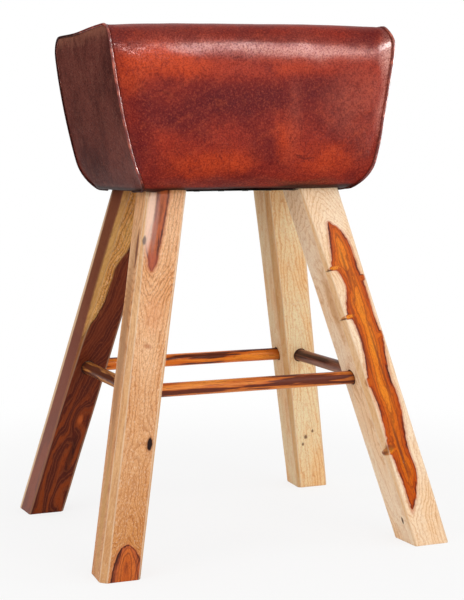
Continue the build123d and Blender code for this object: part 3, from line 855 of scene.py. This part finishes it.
ring_depth = 0.0017
ring_places, ring_facings = [], []
for name, (first, second, axis) in rungs.items():
    start, stop, direction = rung_ends(name)
    for leg_name, here, away in ((first, start, direction), (second, stop, -direction)):
        leg = legs[leg_name]
        normal = leg.across if axis == 0 else leg.deep
        normal = normal if normal.dot(away) > 0 else -normal
        half = leg.size((here - leg.foot).dot(leg.along) / leg.length)[axis] / 2
        step = (half - (here - leg.foot).dot(normal)) / away.dot(normal)
        ring_places.append(here + away * step - normal * ring_depth)
        ring_facings.append(normal)

filler = speckled("filler", 700.0, 3.0, (30, 16, 12), (74, 42, 28), 0.75, 0.2, (0.0004, 0.6))
jig = Jig("filler_rings", {"Ring Radius": 0.0113, "Cord Radius": 0.0014, "Stir": 0.0012, "Seed": 4})
ring = jig.tube(jig.circle(48, jig.size("Ring Radius")), jig.circle(8, jig.size("Cord Radius")))
rings = jig.stirred(jig.real(jig.placed(jig.start, ring, jig.facing())), 170.0)
seeds = seed_points("ring_seeds", ring_places, ring_facings)
fit(jig.run("socket_filler", seeds, rings, filler), "rung_timber")


# The padded block: its form in metres, as in the CAD

block_bottom, block_top, right_rise, crown = 0.5538, 0.8005, 0.0105, 0.0046
half_depth, top_radius, bottom_radius = 0.1525, 0.031, 0.044
knee_reach, knee_height, end_lean = 0.1995, 0.6018, 0.27
foot_reach, tip_reach, form_reach = 0.172, 0.235, 0.24125
seam_inset, pad_slack, roll_width, longest_swell = 0.0015, 0.0045, 0.025, 0.0055
count_x, count_y, count_z = 52, 34, 30
hide_thickness, hide_under_edge, hide_end_margin = 0.002, 0.066, 0.037


def end_reach(height, inset=0.0):
    """How far the block's end stands from the middle at a height."""
    far = (tip_reach, block_top) if height > knee_height else (foot_reach, block_bottom)
    inward = (-cos(atan(end_lean)), sin(atan(end_lean)))
    chord = (far[0] - knee_reach, far[1] - knee_height)
    radius = hypot(*chord) ** 2 / (2 * (chord[0] * inward[0] + chord[1] * inward[1]))
    x, z = knee_reach + inward[0] * radius, knee_height + inward[1] * radius
    return x + ((radius - inset) ** 2 - (height - z) ** 2) ** 0.5


def top_height(x):
    """The crown of the block, a little higher at the right."""
    return block_top + right_rise * (1 + x / form_reach) / 2 + crown * (1 - (x / form_reach) ** 2)


def outline(height, inset):
    """Points round the block's section, from the bottom of the front up, over and down the rear."""
    reach, low, high = half_depth - inset, block_bottom + inset, height - inset
    top_turn, low_turn = top_radius - inset, bottom_radius - inset
    low_middle, top_middle = (-reach + low_turn, low + low_turn), (-reach + top_turn, high - top_turn)

    def front(share):
        """A point between the middles of the front's two rounded corners."""
        arc_low, arc_top = low_turn * pi / 4, top_turn * pi / 4
        straight = top_middle[1] - low_middle[1]
        run = share * (arc_low + straight + arc_top)
        if run < arc_low:
            angle = pi * 5 / 4 - run / low_turn
            return low_middle[0] + low_turn * cos(angle), low_middle[1] + low_turn * sin(angle)
        if run < arc_low + straight:
            return -reach, low_middle[1] + run - arc_low
        angle = pi - (run - arc_low - straight) / top_turn
        return top_middle[0] + top_turn * cos(angle), top_middle[1] + top_turn * sin(angle)

    def flat(share, turn, middle, up):
        """A point of the top or the bottom, from the front corner's middle to the rear one's."""
        arc, straight = turn * pi / 4, -2 * middle[0]
        run = share * (2 * arc + straight)
        if run > arc + straight:
            y, z = flat(1 - share, turn, middle, up)
            return -y, z
        if run > arc:
            return middle[0] + run - arc, middle[1] + up * turn
        angle = pi * 3 / 4 - run / turn
        return middle[0] + turn * cos(angle), middle[1] + up * turn * sin(angle)

    sides = [front(n / count_z) for n in range(count_z)]
    over = [flat(n / count_y, top_turn, top_middle, 1) for n in range(count_y)]
    rear = [(-y, z) for y, z in (front(1 - n / count_z) for n in range(count_z))]
    under = [flat(1 - n / count_y, low_turn, low_middle, -1) for n in range(count_y)]
    return sides + over + rear + under


def hump(value, middle, width):
    """A round rise to 1 at the middle."""
    return exp(-(((value - middle) / width) ** 2))


def settled(point):
    """The block's form as it has settled: softer corners, a dip in the ends, a lower edge that
    lifts and sags."""
    x, y, z = point
    out = ease((abs(x) - 0.185) / 0.05)
    high = ease((z - 0.745) / 0.06)
    if x > 0:
        x += 0.0016 * hump(z, 0.764, 0.020) * out
        x -= 0.0074 * out * ease((z - 0.786) / 0.022)
        z -= 0.0046 * ease((x - 0.210) / 0.032) ** 2 * high
        x += 0.0024 * ease((x - 0.15) / 0.03) * (1 - ease((z - 0.625) / 0.05))
    else:
        x += 0.0012 * out * ease((z - 0.768) / 0.032)
    lean = ease((z - 0.728) / 0.045) * ease(1 - (block_top - z) / 0.09)
    y -= (1 if y > 0 else -1) * 0.0012 * lean * ease((abs(y) - 0.10) / 0.04)
    z -= 0.0028 * out * high * hump(y, 0.03, 0.07)
    if z < block_bottom + 0.02:
        z -= (z - block_bottom - 0.0004) * (1 - ease((abs(y) - 0.100) / 0.030))
    low = 1 - ease((z - block_bottom) / 0.05)
    z += low * (0.0015 + 0.0006 * sin(38 * x + 1.0)) * ease((-y - 0.075) / 0.03)
    z -= low * 0.0054 * hump(x, -0.152, 0.017) * ease((-y - 0.085) / 0.03)
    return Vector((x, y, z))


outline_store = {}


def outlines(x, inset):
    """The outline at a place along the block, kept once worked out."""
    key = (round(x, 4), round(inset, 5))
    if key not in outline_store:
        outline_store[key] = outline(top_height(key[0]), key[1])
    return outline_store[key]


def block_point(u, k, inset):
    """A point of the wrap: u from -1 at the left seam to 1 at the right one, k round the outline."""
    x = u * tip_reach
    for _ in range(3):
        y, z = outlines(x, inset)[k]
        x = u * end_reach(z, seam_inset)
    return Vector((x, y, z))


def slack_inset(from_seam):
    """How far the form lies inside the filled hide: less near a seam, which the filling can't move."""
    return seam_inset + (pad_slack - seam_inset) * (1 - exp(-from_seam / roll_width))


def block_form():
    """The closed form of the block: the wrap's grid and a patch on each end."""
    bm = bmesh.new()
    columns = []
    for i in range(count_x + 1):
        u = 2 * i / count_x - 1
        inset = slack_inset((1 - abs(u)) * tip_reach)
        points = [settled(block_point(u, k, inset)) for k in range(2 * (count_z + count_y))]
        columns.append([bm.verts.new(point) for point in points])
    bridge(bm, columns)
    for side, ring in ((-1, columns[0]), (1, columns[-1])):
        patch = end_patch(bm, side, ring)
        for a in range(count_y):
            for b in range(count_z):
                corners = (patch[a][b], patch[a + 1][b], patch[a + 1][b + 1], patch[a][b + 1])
                bm.faces.new(corners).material_index = 1 if side < 0 else 2
    bmesh.ops.recalc_face_normals(bm, faces=bm.faces)
    return bm, columns


def end_patch(bm, side, ring):
    """A grid of points over one end, spanned between the four sides of its seam."""
    front = ring[: count_z + 1]
    top = ring[count_z : count_z + count_y + 1]
    rear = ring[count_z + count_y : 2 * count_z + count_y + 1][::-1]
    bottom = (ring[2 * count_z + count_y :] + ring[:1])[::-1]
    grid = [[None] * (count_z + 1) for _ in range(count_y + 1)]
    for a in range(count_y + 1):
        for b in range(count_z + 1):
            if a in (0, count_y):
                grid[a][b] = rear[b] if a else front[b]
            elif b in (0, count_z):
                grid[a][b] = top[a] if b else bottom[a]
            else:
                s, t = a / count_y, b / count_z
                across = front[b].co.lerp(rear[b].co, s)
                upright = bottom[a].co.lerp(top[a].co, t)
                corners = front[0].co.lerp(rear[0].co, s).lerp(front[-1].co.lerp(rear[-1].co, s), t)
                place = across + upright - corners
                depth = min(s, 1 - s) * 2 * half_depth
                rise = min(t, 1 - t) * (block_top - block_bottom)
                place.x = side * end_reach(place.z, slack_inset(min(depth, rise)))
                grid[a][b] = bm.verts.new(settled(place))
    return grid


def swell(piece, held):
    """Cloth simulation: pressure fills the hide, which is held at its seams and under the block."""
    start = [vert.co.copy() for vert in piece.data.vertices]
    piece.vertex_groups.new(name="held").add(held, 1.0, "REPLACE")
    cloth = piece.modifiers.new("filling", "CLOTH").settings
    cloth.quality = 6
    cloth.mass = 0.4
    cloth.tension_stiffness = cloth.compression_stiffness = 9
    cloth.shear_stiffness = cloth.bending_stiffness = 4
    cloth.vertex_group_mass = "held"
    cloth.use_pressure = True
    cloth.uniform_pressure_force = 4
    cloth.effector_weights.gravity = 0
    scene = bpy.context.scene
    scene.frame_start, scene.frame_end = 1, 20
    for moment in range(scene.frame_start, scene.frame_end + 1):
        scene.frame_set(moment)
    carry_out(piece)
    for vert, before in zip(piece.data.vertices, start):
        move = vert.co - before
        if move.length > longest_swell:
            vert.co = before + move * (longest_swell / move.length)
    scene.frame_set(1)
    return piece


def with_normals(piece):
    """The piece's points, each with its normal as it is before any of them moves."""
    return list(zip(piece.data.vertices, [vert.normal.copy() for vert in piece.data.vertices]))


def pulled(point, from_seam):
    """Small puckers where the hide is drawn into the seam, deepest at the front left top corner."""
    corner = exp(-((point - Vector((-0.215, -0.15, 0.775))).length / 0.045) ** 2)
    depth = (0.0004 + 0.0014 * corner) * exp(-from_seam / 0.009)
    return depth * noise.noise(Vector((point.x * 60, point.y * 140, point.z * 140)))


form, columns = block_form()
form.verts.index_update()
seam_rows = {
    side: [[vert.index for vert in columns[place]] for place in places]
    for side, places in ((-1, (0, 1)), (1, (-1, -2)))
}
underside = [
    vert.index for vert in form.verts if vert.co.z < block_bottom + 0.006 and abs(vert.co.y) < 0.115
]
block = new_piece("block", form)
held = seam_rows[-1][0] + seam_rows[1][0] + underside
block = swell(block, held)
seams = {
    side: [[block.data.vertices[n].co.copy() for n in row] for row in rows]
    for side, rows in seam_rows.items()
}


def leg_inside(point, margin):
    """Whether a point under the block lies in the head of a leg."""
    for leg in legs.values():
        off = point - leg.foot
        width, depth = leg.size(1)
        if abs(off.dot(leg.across)) < width / 2 + margin and abs(off.dot(leg.deep)) < depth / 2 + margin:
            return True
    return False


def hide_piece(name, own_kind, material):
    """One hide of the block: its faces taken out, refined, drawn into the seams and thickened."""
    bm = bmesh.new()
    bm.from_mesh(block.data)
    bm.faces.ensure_lookup_table()
    spare = []
    for face in bm.faces:
        middle = face.calc_center_median()
        kind = face.material_index
        if kind == 0 and middle.z < block_bottom + 0.008 and abs(middle.y) < hide_under_edge:
            near_end = abs(middle.x) > foot_reach - hide_end_margin
            kind = (1 if middle.x < 0 else 2) if near_end else -1
        if middle.z < block_bottom + 0.006 and leg_inside(middle, 0.001):
            kind = -1
        if kind != own_kind:
            spare.append(face)
    bmesh.ops.delete(bm, geom=spare, context="FACES")
    for face in bm.faces:
        face.material_index = 0
    piece = new_piece(name, bm, material)
    finer = piece.modifiers.new("finer", "SUBSURF")
    finer.levels = finer.render_levels = 1
    for vert, normal in with_normals(carry_out(piece)):
        from_seam = abs(end_reach(vert.co.z, seam_inset) - abs(vert.co.x))
        if own_kind:
            from_seam = min(half_depth - abs(vert.co.y), top_height(vert.co.x) - vert.co.z)
        vert.co += normal * pulled(vert.co, max(from_seam, 0))
        vert.co += normal * 0.0003 * noise.noise(vert.co * 34)
    return thicken(piece, hide_thickness, -1)


# Burnished hide. Light and dark clouds lie where the polish took more or less.


def burnished(name, tones, hem_shade_rise, clouds=(), polish_and_sheen=(), painted_top_sheen=None):
    """Waxed hide, brushed and aged by hand. Places and sizes are in millimetres.

    tones are its colour, and what it turns to where it is scuffed and where wax has gathered. hem_shade_rise
    is how much further the painted shade along the lower edge rises at the right. clouds lie on the long
    faces: each has a middle and a reach in x and z, a tone and a strength, and the rear has them turned
    about. polish_and_sheen are places that were rubbed to a gloss, each a middle, a reach and a strength:
    the coat rises there, and a pale painted sheen is laid into the colour. painted_top_sheen is the tone
    of a painted sheen along the upper edge."""
    finish = Finish(name)
    base, warm, deep = tones
    x, y, z = finish.split(finish.place)
    long_face = finish.vector(x * y.math("SIGN") * -1.0, y.math("ABSOLUTE") * -1.0, z)
    stirred = finish.shift(long_face, 13.0, 0.022, 6.0)
    broad = finish.noise(finish.place, 9.0, 5.0, 0.62)
    patch = finish.noise(finish.shift(finish.place, 30.0, 0.012), 44.0, 6.0, 0.68)
    brushed = finish.noise(finish.place, 210.0, 4.0, 0.65, stretch=(1, 1, 7), lean=0.1)
    scuffed = finish.noise(finish.place, 100.0, 4.0, 0.6, stretch=(8, 1, 1), lean=-0.5)
    grit = finish.noise(finish.place, 400.0, 3.0, 0.7)

    def spot(middle, reach, soft):
        """A soft spot on a long face."""
        (middle_x, middle_z), (reach_x, reach_z) = mm(*middle), mm(*reach)
        return finish.blot(stirred, (middle_x, -half_depth, middle_z), (reach_x, 0.05, reach_z), soft)

    hide = finish.mix(broad.smooth(0.30, 0.64), deep, base)
    for middle, reach, colour, strength in clouds:
        hide = hide.glazed(spot(middle, reach, 0.8) * (0.30 + patch * 1.3) * strength, colour)
    hide = hide.glazed(patch.smooth(0.50, 0.72) * 0.30, warm)
    hide = hide.glazed(patch.smooth(0.49, 0.30) * 0.50, deep)
    hide = hide.glazed(brushed.smooth(0.50, 0.72) * 0.40, deep)
    hide = hide.glazed(scuffed.smooth(0.52, 0.75) * 0.25, warm)
    hide = hide.glazed(grit.smooth(0.42, 0.70) * 0.62, tuple(part * 0.5 for part in deep))
    hide = hide.glazed(grit.smooth(0.48, 0.26) * 0.50, warm)
    coat_and_sheen = 0.03
    for middle, reach, strength in polish_and_sheen:
        coat_and_sheen = spot(middle, reach, 0.7) * (0.25 + patch * 1.4) * strength + coat_and_sheen
    coat_and_sheen = coat_and_sheen * (0.35 + 1.3 * grit.smooth(0.62, 0.36))
    # The polished places also get a pale painted sheen in the colour, on top of their real coat.
    if polish_and_sheen:
        hide = hide.glazed(coat_and_sheen * 0.25, tone(220, 140, 116))
    # A pale painted sheen along the upper edge, where its roll catches the light.
    if painted_top_sheen:
        hide = hide.glazed((z + patch * 0.036).smooth(0.792, 0.832) * 0.60, painted_top_sheen)
    # Painted shade: the lower edge, where the hide turns under the block, is darkened nearly to black, higher
    # at the right.
    hem_shade_height = x.smooth(0.035, 0.075) * hem_shade_rise + (patch - 0.5) * hem_shade_rise
    hide = hide.glazed((z - hem_shade_height).smooth(0.5620, 0.5572) * 0.92, tone(44, 16, 10))

    cell = finish.node("ShaderNodeTexVoronoi", {"Vector": finish.place, "Scale": 480.0}, "Distance")
    crease = finish.noise(finish.shift(finish.place, 40.0, 0.004), 85.0, 4.0, 0.55)
    fold = (crease - 0.5).math("ABSOLUTE").smooth(0.0, 0.035)
    gathered = finish.blot(finish.place, (-0.222, -half_depth, 0.768), (0.030, 0.04, 0.028), 0.7)
    pucker = finish.noise(finish.place, 210.0, stretch=(5, 1, 1), lean=0.5)
    dents = finish.bump(fold * 0.5 + patch + gathered * pucker * 5.0, 0.0012, 0.30)
    return finish.done(
        color=hide,
        roughness=0.36 + patch * 0.14 + grit * 0.10,
        specular=0.06,
        coat=coat_and_sheen,
        coat_roughness=0.24,
        normal=finish.bump(cell * 0.6 + grit * 0.9, 0.0004, 0.50, dents),
    )


glow, brick, plum, blush_pink = tone(208, 70, 22), tone(168, 50, 26), tone(88, 18, 24), tone(176, 84, 66)
umber, olive_edge_highlight, scar = tone(126, 54, 46), tone(96, 62, 40), tone(78, 18, 15)
wrap_hide = burnished(
    "burnished_hide",
    (tone(152, 44, 28), tone(190, 74, 42), tone(106, 24, 22)),
    0.0030,
    clouds=(
        ((-166, 746), (55, 22), glow, 0.95), ((-105, 740), (55, 18), glow, 0.75),
        ((-198, 724), (22, 26), glow, 0.70), ((-16, 732), (55, 22), brick, 0.85),
        ((62, 746), (35, 16), glow, 0.60), ((120, 756), (70, 14), brick, 0.80),
        ((188, 736), (28, 30), brick, 0.60), ((100, 766), (120, 14), blush_pink, 0.70),
        ((-54, 686), (60, 28), plum, 0.90), ((12, 698), (40, 22), plum, 0.70),
        ((-126, 664), (50, 26), plum, 0.60), ((-184, 682), (20, 24), plum, 0.65),
        ((94, 708), (42, 22), plum, 0.75), ((165, 690), (46, 42), blush_pink, 0.58),
        ((60, 664), (12, 50), blush_pink, 0.35), ((-192, 622), (26, 28), plum, 0.75),
        ((-140, 622), (30, 18), brick, 0.60), ((-92, 594), (50, 16), glow, 0.62),
        ((-30, 602), (30, 14), glow, 0.60), ((47, 634), (20, 26), glow, 0.55),
        ((10, 616), (20, 18), plum, 0.45), ((116, 602), (45, 20), glow, 0.58),
        ((180, 616), (20, 26), umber, 0.50), ((-140, 786), (90, 13), umber, 0.65),
        # The olive cloud low on the right is a painted highlight on the rolled lower edge.
        ((60, 788), (120, 9), umber, 0.60), ((84, 566), (45, 6), olive_edge_highlight, 0.70),
        ((-35, 754), (8, 1.4), scar, 0.60), ((79, 606), (11, 1.4), scar, 0.80),
        ((70, 609), (4, 1.4), scar, 0.80), ((-150, 700), (20, 1.2), scar, 0.50),
        ((-60, 568), (110, 7), umber, 0.60),
    ),
    polish_and_sheen=(
        ((-60, 768), (150, 11), 0.26), ((120, 769), (110, 11), 0.19),
        ((230, 755), (16, 40), 1.70), ((217, 660), (10, 80), 0.90),
    ),
)
end_tones = (tone(110, 55, 46), tone(142, 90, 74), tone(70, 28, 24))
end_hide = burnished("dark_hide", end_tones, 0.0, painted_top_sheen=tone(180, 116, 90))

wrap = hide_piece("hide_wrap", 0, wrap_hide)
fit(wrap, "hide", "leather_wrap", "foam_top", "foam_front", "foam_rear")
for name, kind in (("left", 1), ("right", 2)):
    panel = hide_piece(f"hide_end_{name}", kind, end_hide)
    fit(panel, "end_hide", f"leather_end_{name}", f"foam_{name}")
bpy.data.objects.remove(block)


# The corded welt in each end seam, and the stitches beside it. The welt has painted shade behind and below,
# and pale patches of painted sheen.

finish = Finish("welt_hide")
welt_sheen_noise = finish.noise(finish.place, 90.0, 4.0, 0.6)
grain = finish.noise(finish.place, 900.0, 2.0)
_, depth, height = finish.split(finish.place)
# Painted shade darkens the welt towards the rear and low down.
welt_painted_shade = depth.smooth(-0.06, 0.05).math("MAXIMUM", height.smooth(0.574, 0.558))
# Pale patches stand for the cord's sheen: a painted highlight.
welt_colour_with_painted_sheen = finish.mix(welt_sheen_noise.smooth(0.45, 0.75), tone(110, 34, 24), tone(206, 116, 92))
welt_hide = finish.done(
    color=welt_colour_with_painted_sheen.glazed(welt_painted_shade * 0.85, tone(22, 8, 8)),
    roughness=0.36 + grain * 0.15,
    specular=0.04,
    coat=0.50 - welt_painted_shade * 0.49,
    coat_ior=1.8,
    coat_tint=(*tone(255, 206, 190), 1),
    coat_roughness=0.20,
    normal=finish.bump(grain, 0.0003, 0.5),
)
thread = speckled(
    "waxed_thread", 1400.0, 2.0, (84, 22, 17), (132, 48, 36), 0.6, 0.2, (0.0002, 0.5), specular=0.05
)


def seam_run(ring, side, out, off):
    """A ring's points from under the front edge round to under the rear, moved out along X and off
    the block's middle."""
    reach_under = hide_under_edge - 0.004
    run = [place for place in ring[2 * count_z + count_y :] if place.y < -reach_under]
    run += ring[: 2 * count_z + count_y + 1]
    run += [place for place in ring[2 * count_z + count_y + 1 :] if place.y > reach_under]
    middle_height = (block_bottom + block_top) / 2
    moved = []
    for place in run:
        spoke = Vector((0, place.y, place.z - middle_height)).normalized()
        moved.append(place + Vector((side * out, 0, 0)) + spoke * off)
    return moved


for side, end in ((-1, "left"), (1, "right")):
    seam, inner = seams[side]
    jig = Jig(f"welt_{end}", {"Radius": 0.0020, "Step": 0.0022, "Stir": 0.00012, "Seed": 7 + side})
    values = {"Curve": jig.start, "Length": jig.size("Step")}
    path = jig.node("GeometryNodeResampleCurve", values, mode="LENGTH")
    cord = jig.stirred(jig.tube(path, jig.circle(12, jig.size("Radius")), True), 130.0)
    start = path_curve("seam", seam_run(seam, side, 0.0005, 0.0005))
    fit(jig.run(f"welt_{end}", start, cord, welt_hide), "welt", f"piping_{end}")

    jig = Jig(f"stitches_{end}", {"Pitch": 0.0052, "Thickness": 0.00045, "Stretch": 3.4})
    values = {"Curve": jig.start, "Length": jig.size("Pitch")}
    points = jig.node("GeometryNodeCurveToPoints", values, mode="LENGTH")
    values = {"Segments": 8, "Rings": 6, "Radius": jig.size("Thickness")}
    bead = jig.node("GeometryNodeMeshUVSphere", values)
    values = {"Geometry": bead, "Scale": jig.vector(1.0, 1.0, jig.size("Stretch"))}
    stitch = jig.node("GeometryNodeTransform", values)
    stitches = jig.placed(points, stitch, points.other("Tangent"))
    row = [outer.lerp(within, 0.42) for outer, within in zip(seam, inner)]
    start = path_curve("stitch_row", seam_run(row, side, 0.0, 0.0009))
    fit(jig.run(f"seam_stitches_{end}", start, stitches, thread), "welt")


# Black cloth under the block, with its staples


def cut_round_legs(bm, margin):
    """Takes the leg heads out of a flat grid and draws the rim of each hole to the leg."""
    inside = [face for face in bm.faces if leg_inside(face.calc_center_median(), margin)]
    rims = {vert for face in inside for vert in face.verts}
    bmesh.ops.delete(bm, geom=inside, context="FACES")
    for vert in [vert for vert in rims if vert.is_valid]:
        leg = min(legs.values(), key=lambda leg: (vert.co - leg.top).length)
        off = vert.co - leg.foot
        x, y = off.dot(leg.across), off.dot(leg.deep)
        reach_x, reach_y = (size / 2 + margin for size in leg.size(1))
        if abs(x) / reach_x > abs(y) / reach_y:
            x = reach_x if x > 0 else -reach_x
            y = max(-reach_y, min(reach_y, y))
        else:
            y = reach_y if y > 0 else -reach_y
            x = max(-reach_x, min(reach_x, x))
        flat = leg.foot + leg.across * x + leg.deep * y
        vert.co = flat + leg.along * ((vert.co.z - flat.z) / leg.along.z)


cover_x, cover_y, cover_gap = 0.164, 0.1045, 0.0012
bm = flat_grid(54, 34)
for vert in bm.verts:
    vert.co = Vector((vert.co.x * cover_x, vert.co.y * cover_y, seat_underside + cover_gap))
cut_round_legs(bm, cover_gap)
cloth_area = sum(face.calc_area() for face in bm.faces)
for vert in bm.verts:
    x, y = vert.co.x / cover_x, vert.co.y / cover_y
    sag = 0.0010 * (1 - x * x) * (1 - y * y)
    uneven = 1 + noise.noise(Vector((vert.co.x * 30, vert.co.y * 30, 3)))
    vert.co.z -= sag + 0.0006 * uneven * ease((abs(y) - 0.8) / 0.2)
bmesh.ops.recalc_face_normals(bm, faces=bm.faces)

finish = Finish("black_cloth")
values = {"Vector": finish.place, "Scale": 320.0}
warp, weft = (finish.node("ShaderNodeTexWave", values, bands_direction=axis) for axis in "XY")
lint = finish.noise(finish.place, 300.0, 3.0)
black_cloth = finish.done(
    color=finish.mix(lint, tone(16, 15, 15), tone(40, 38, 37)),
    roughness=0.85 + lint * 0.1,
    normal=finish.bump(warp * weft, 0.0004, 0.6),
)
cover = fit(thicken(new_piece("dust_cloth", bm, black_cloth), 0.0008, 0), "cloth", "dust_cover")

wire = speckled("galvanised_wire", 800.0, 2.0, (52, 50, 48), (86, 84, 82), 0.3, 0.2, metallic=1.0)
staple_height = 0.5531
places, facings = [], []
for edge in (-1, 1):
    places += [(0.0805 * (n / 2 - 1), edge * 0.1005, staple_height) for n in range(5)]
    places += [(edge * 0.156, n * 0.0265, staple_height) for n in (-1, 1)]
    facings += [(1, 0, 0)] * 5 + [(0, 1, 0)] * 2
jig = Jig("cloth_staples", {"Crown": 0.010, "Wire": 0.0008, "Leg": 0.0066, "Seed": 2})
width, gauge, drop = jig.size("Crown"), jig.size("Wire"), jig.size("Leg")
parts = [jig.box(width, gauge, gauge, (0, 0, 0))]
for way in (-0.5, 0.5):
    parts.append(jig.box(gauge, gauge, drop, jig.vector((width - gauge) * way, 0.0, drop * 0.5)))
staple = jig.node("GeometryNodeJoinGeometry")
for part in parts:
    jig.tree.links.new(part.socket, staple.socket.node.inputs[0])
staples = jig.placed(jig.start, staple, jig.facing(), "X")
seeds = seed_points("staple_seeds", places, facings)
fit(jig.run("cloth_staple_wires", seeds, staples, wire, smooth=False), "staple_steel", "dust_cover_staples")


# Finishes of what the hide covers: the sawn boards and the screws and staples in them


def sawn_board(name, stretch):
    """Unfinished sawn pine, its grain along the stretch."""
    finish = Finish(name)
    along = finish.mapped(finish.place, scale=stretch)
    rings = finish.noise(finish.shift(along, 20.0, 0.01), 70.0, 3.0)
    fibre = finish.noise(along, 600.0, 3.0, 0.6)
    board = finish.ramp(rings, stops((0.3, 226, 192, 140), (0.5, 204, 160, 104), (0.62, 232, 200, 150)))
    return finish.done(
        color=board.glazed(fibre.smooth(0.5, 0.8) * 0.5, tone(170, 126, 80)),
        roughness=0.7 + fibre * 0.2,
        normal=finish.bump(fibre, 0.0004, 0.5),
    )


lengthwise, crosswise = sawn_board("sawn_lengthwise", (14, 1, 1)), sawn_board("sawn_crosswise", (1, 14, 1))
zinc = speckled(
    "zinc_screw", 500.0, 2.0, (176, 168, 140), (214, 206, 182), 0.28, 0.2, stretch=(1, 1, 0.2), metallic=1.0
)
for material, nodes in (
    (lengthwise, ("base_board", "side_board_front", "side_board_rear", "top_board")),
    (crosswise, ("end_board_left", "end_board_right")),
    (zinc, ("leg_screws", "frame_screws")),
    (wire, ("leather_staples",)),
):
    for node in nodes:
        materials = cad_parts[node].data.materials
        materials.clear()
        materials.append(material)


# The studio: a pale floor, a white surround, soft lamps and the camera

finish = Finish("studio_floor")
x, y, _ = finish.split(finish.place)
spread = (x * x + y * y) ** 0.5
seen = finish.direct() * (0.80 + 0.20 * spread.smooth(0.5, 1.3))
diffuse = finish.node("ShaderNodeBsdfDiffuse", {"Color": (0.86, 0.86, 0.86, 1)})
white = finish.node("ShaderNodeEmission", {"Color": (1, 1, 1, 1), "Strength": 1.0})
floor_finish = finish.done(finish.node("ShaderNodeMixShader", {0: seen, 1: diffuse, 2: white}))
floor = new_piece("floor", flat_grid(1, 1, 7), floor_finish)

world = bpy.data.worlds.new("studio")
world.use_nodes = True
world.node_tree.nodes.clear()
bpy.context.scene.world = world
sky = Bench(world.node_tree)
values = {"Color": (1, 1, 1, 1), "Strength": 0.72 + sky.direct() * 0.28}
sky.node("ShaderNodeOutputWorld", {"Surface": sky.node("ShaderNodeBackground", values)})


def soft_lamp(name, place, target, width, height, power):
    """A rectangular soft lamp aimed at a spot."""
    lamp = bpy.data.lights.new(name, "AREA")
    lamp.shape, lamp.size, lamp.size_y, lamp.energy = "RECTANGLE", width, height, power
    stand = put(name, lamp)
    stand.location = place
    stand.rotation_euler = (Vector(target) - Vector(place)).to_track_quat("-Z", "Y").to_euler()
    return stand


soft_lamp("front_bank", (0.9, -2.6, 1.5), (0, 0, 0.5), 1.8, 1.2, 16)
soft_lamp("right_bank", (2.4, -0.9, 1.1), (0, 0, 0.5), 1.2, 1.4, 9)
soft_lamp("left_bank", (-2.4, -0.9, 1.2), (0, 0, 0.4), 1.4, 1.6, 12)

# Two narrow strips with a grid, which only shine in polished places of the hide
for name, place, width, height, power in (
    ("fold_strip", (1.0, -2.5, 1.85), 2.4, 0.14, 2.0),
    ("edge_strip", (2.3, -0.5, 0.95), 0.4, 1.3, 4.4),
):
    strip = soft_lamp(name, place, (0, 0, 0.78), width, height, power)
    strip.data.spread = radians(24)
    strip.visible_diffuse = False

# A black card behind the left, which only reflections see, keeps the end's hide from looking milky
bm = flat_grid(1, 1)
for vert in bm.verts:
    vert.co = Vector((-1.5 + vert.co.x * 1.4, 2.4 + vert.co.x * 0.6, 0.9 + vert.co.y * 0.9))
finish = Finish("black_card")
black = finish.node("ShaderNodeBsdfDiffuse", {"Color": (0.03, 0.03, 0.03, 1)})
card = new_piece("black_card", bm, finish.done(black))
card.visible_camera = card.visible_diffuse = card.visible_shadow = card.visible_transmission = False

lens = bpy.data.cameras.new("camera")
lens.lens = 85.26
camera = put("camera", lens)
yaw, pitch, roll = 0.3842, -0.1002, 0.0045
turns = ((-yaw, "Z"), (pi / 2 + pitch, "X"), (-roll, "Z"))
around, up, level = (Matrix.Rotation(angle, 3, axis) for angle, axis in turns)
camera.rotation_euler = (around @ up @ level).to_euler()
camera.location = (-0.84993, -2.14635, 0.60522)
bpy.context.scene.camera = camera
bpy.context.scene.view_settings.view_transform = "Standard"
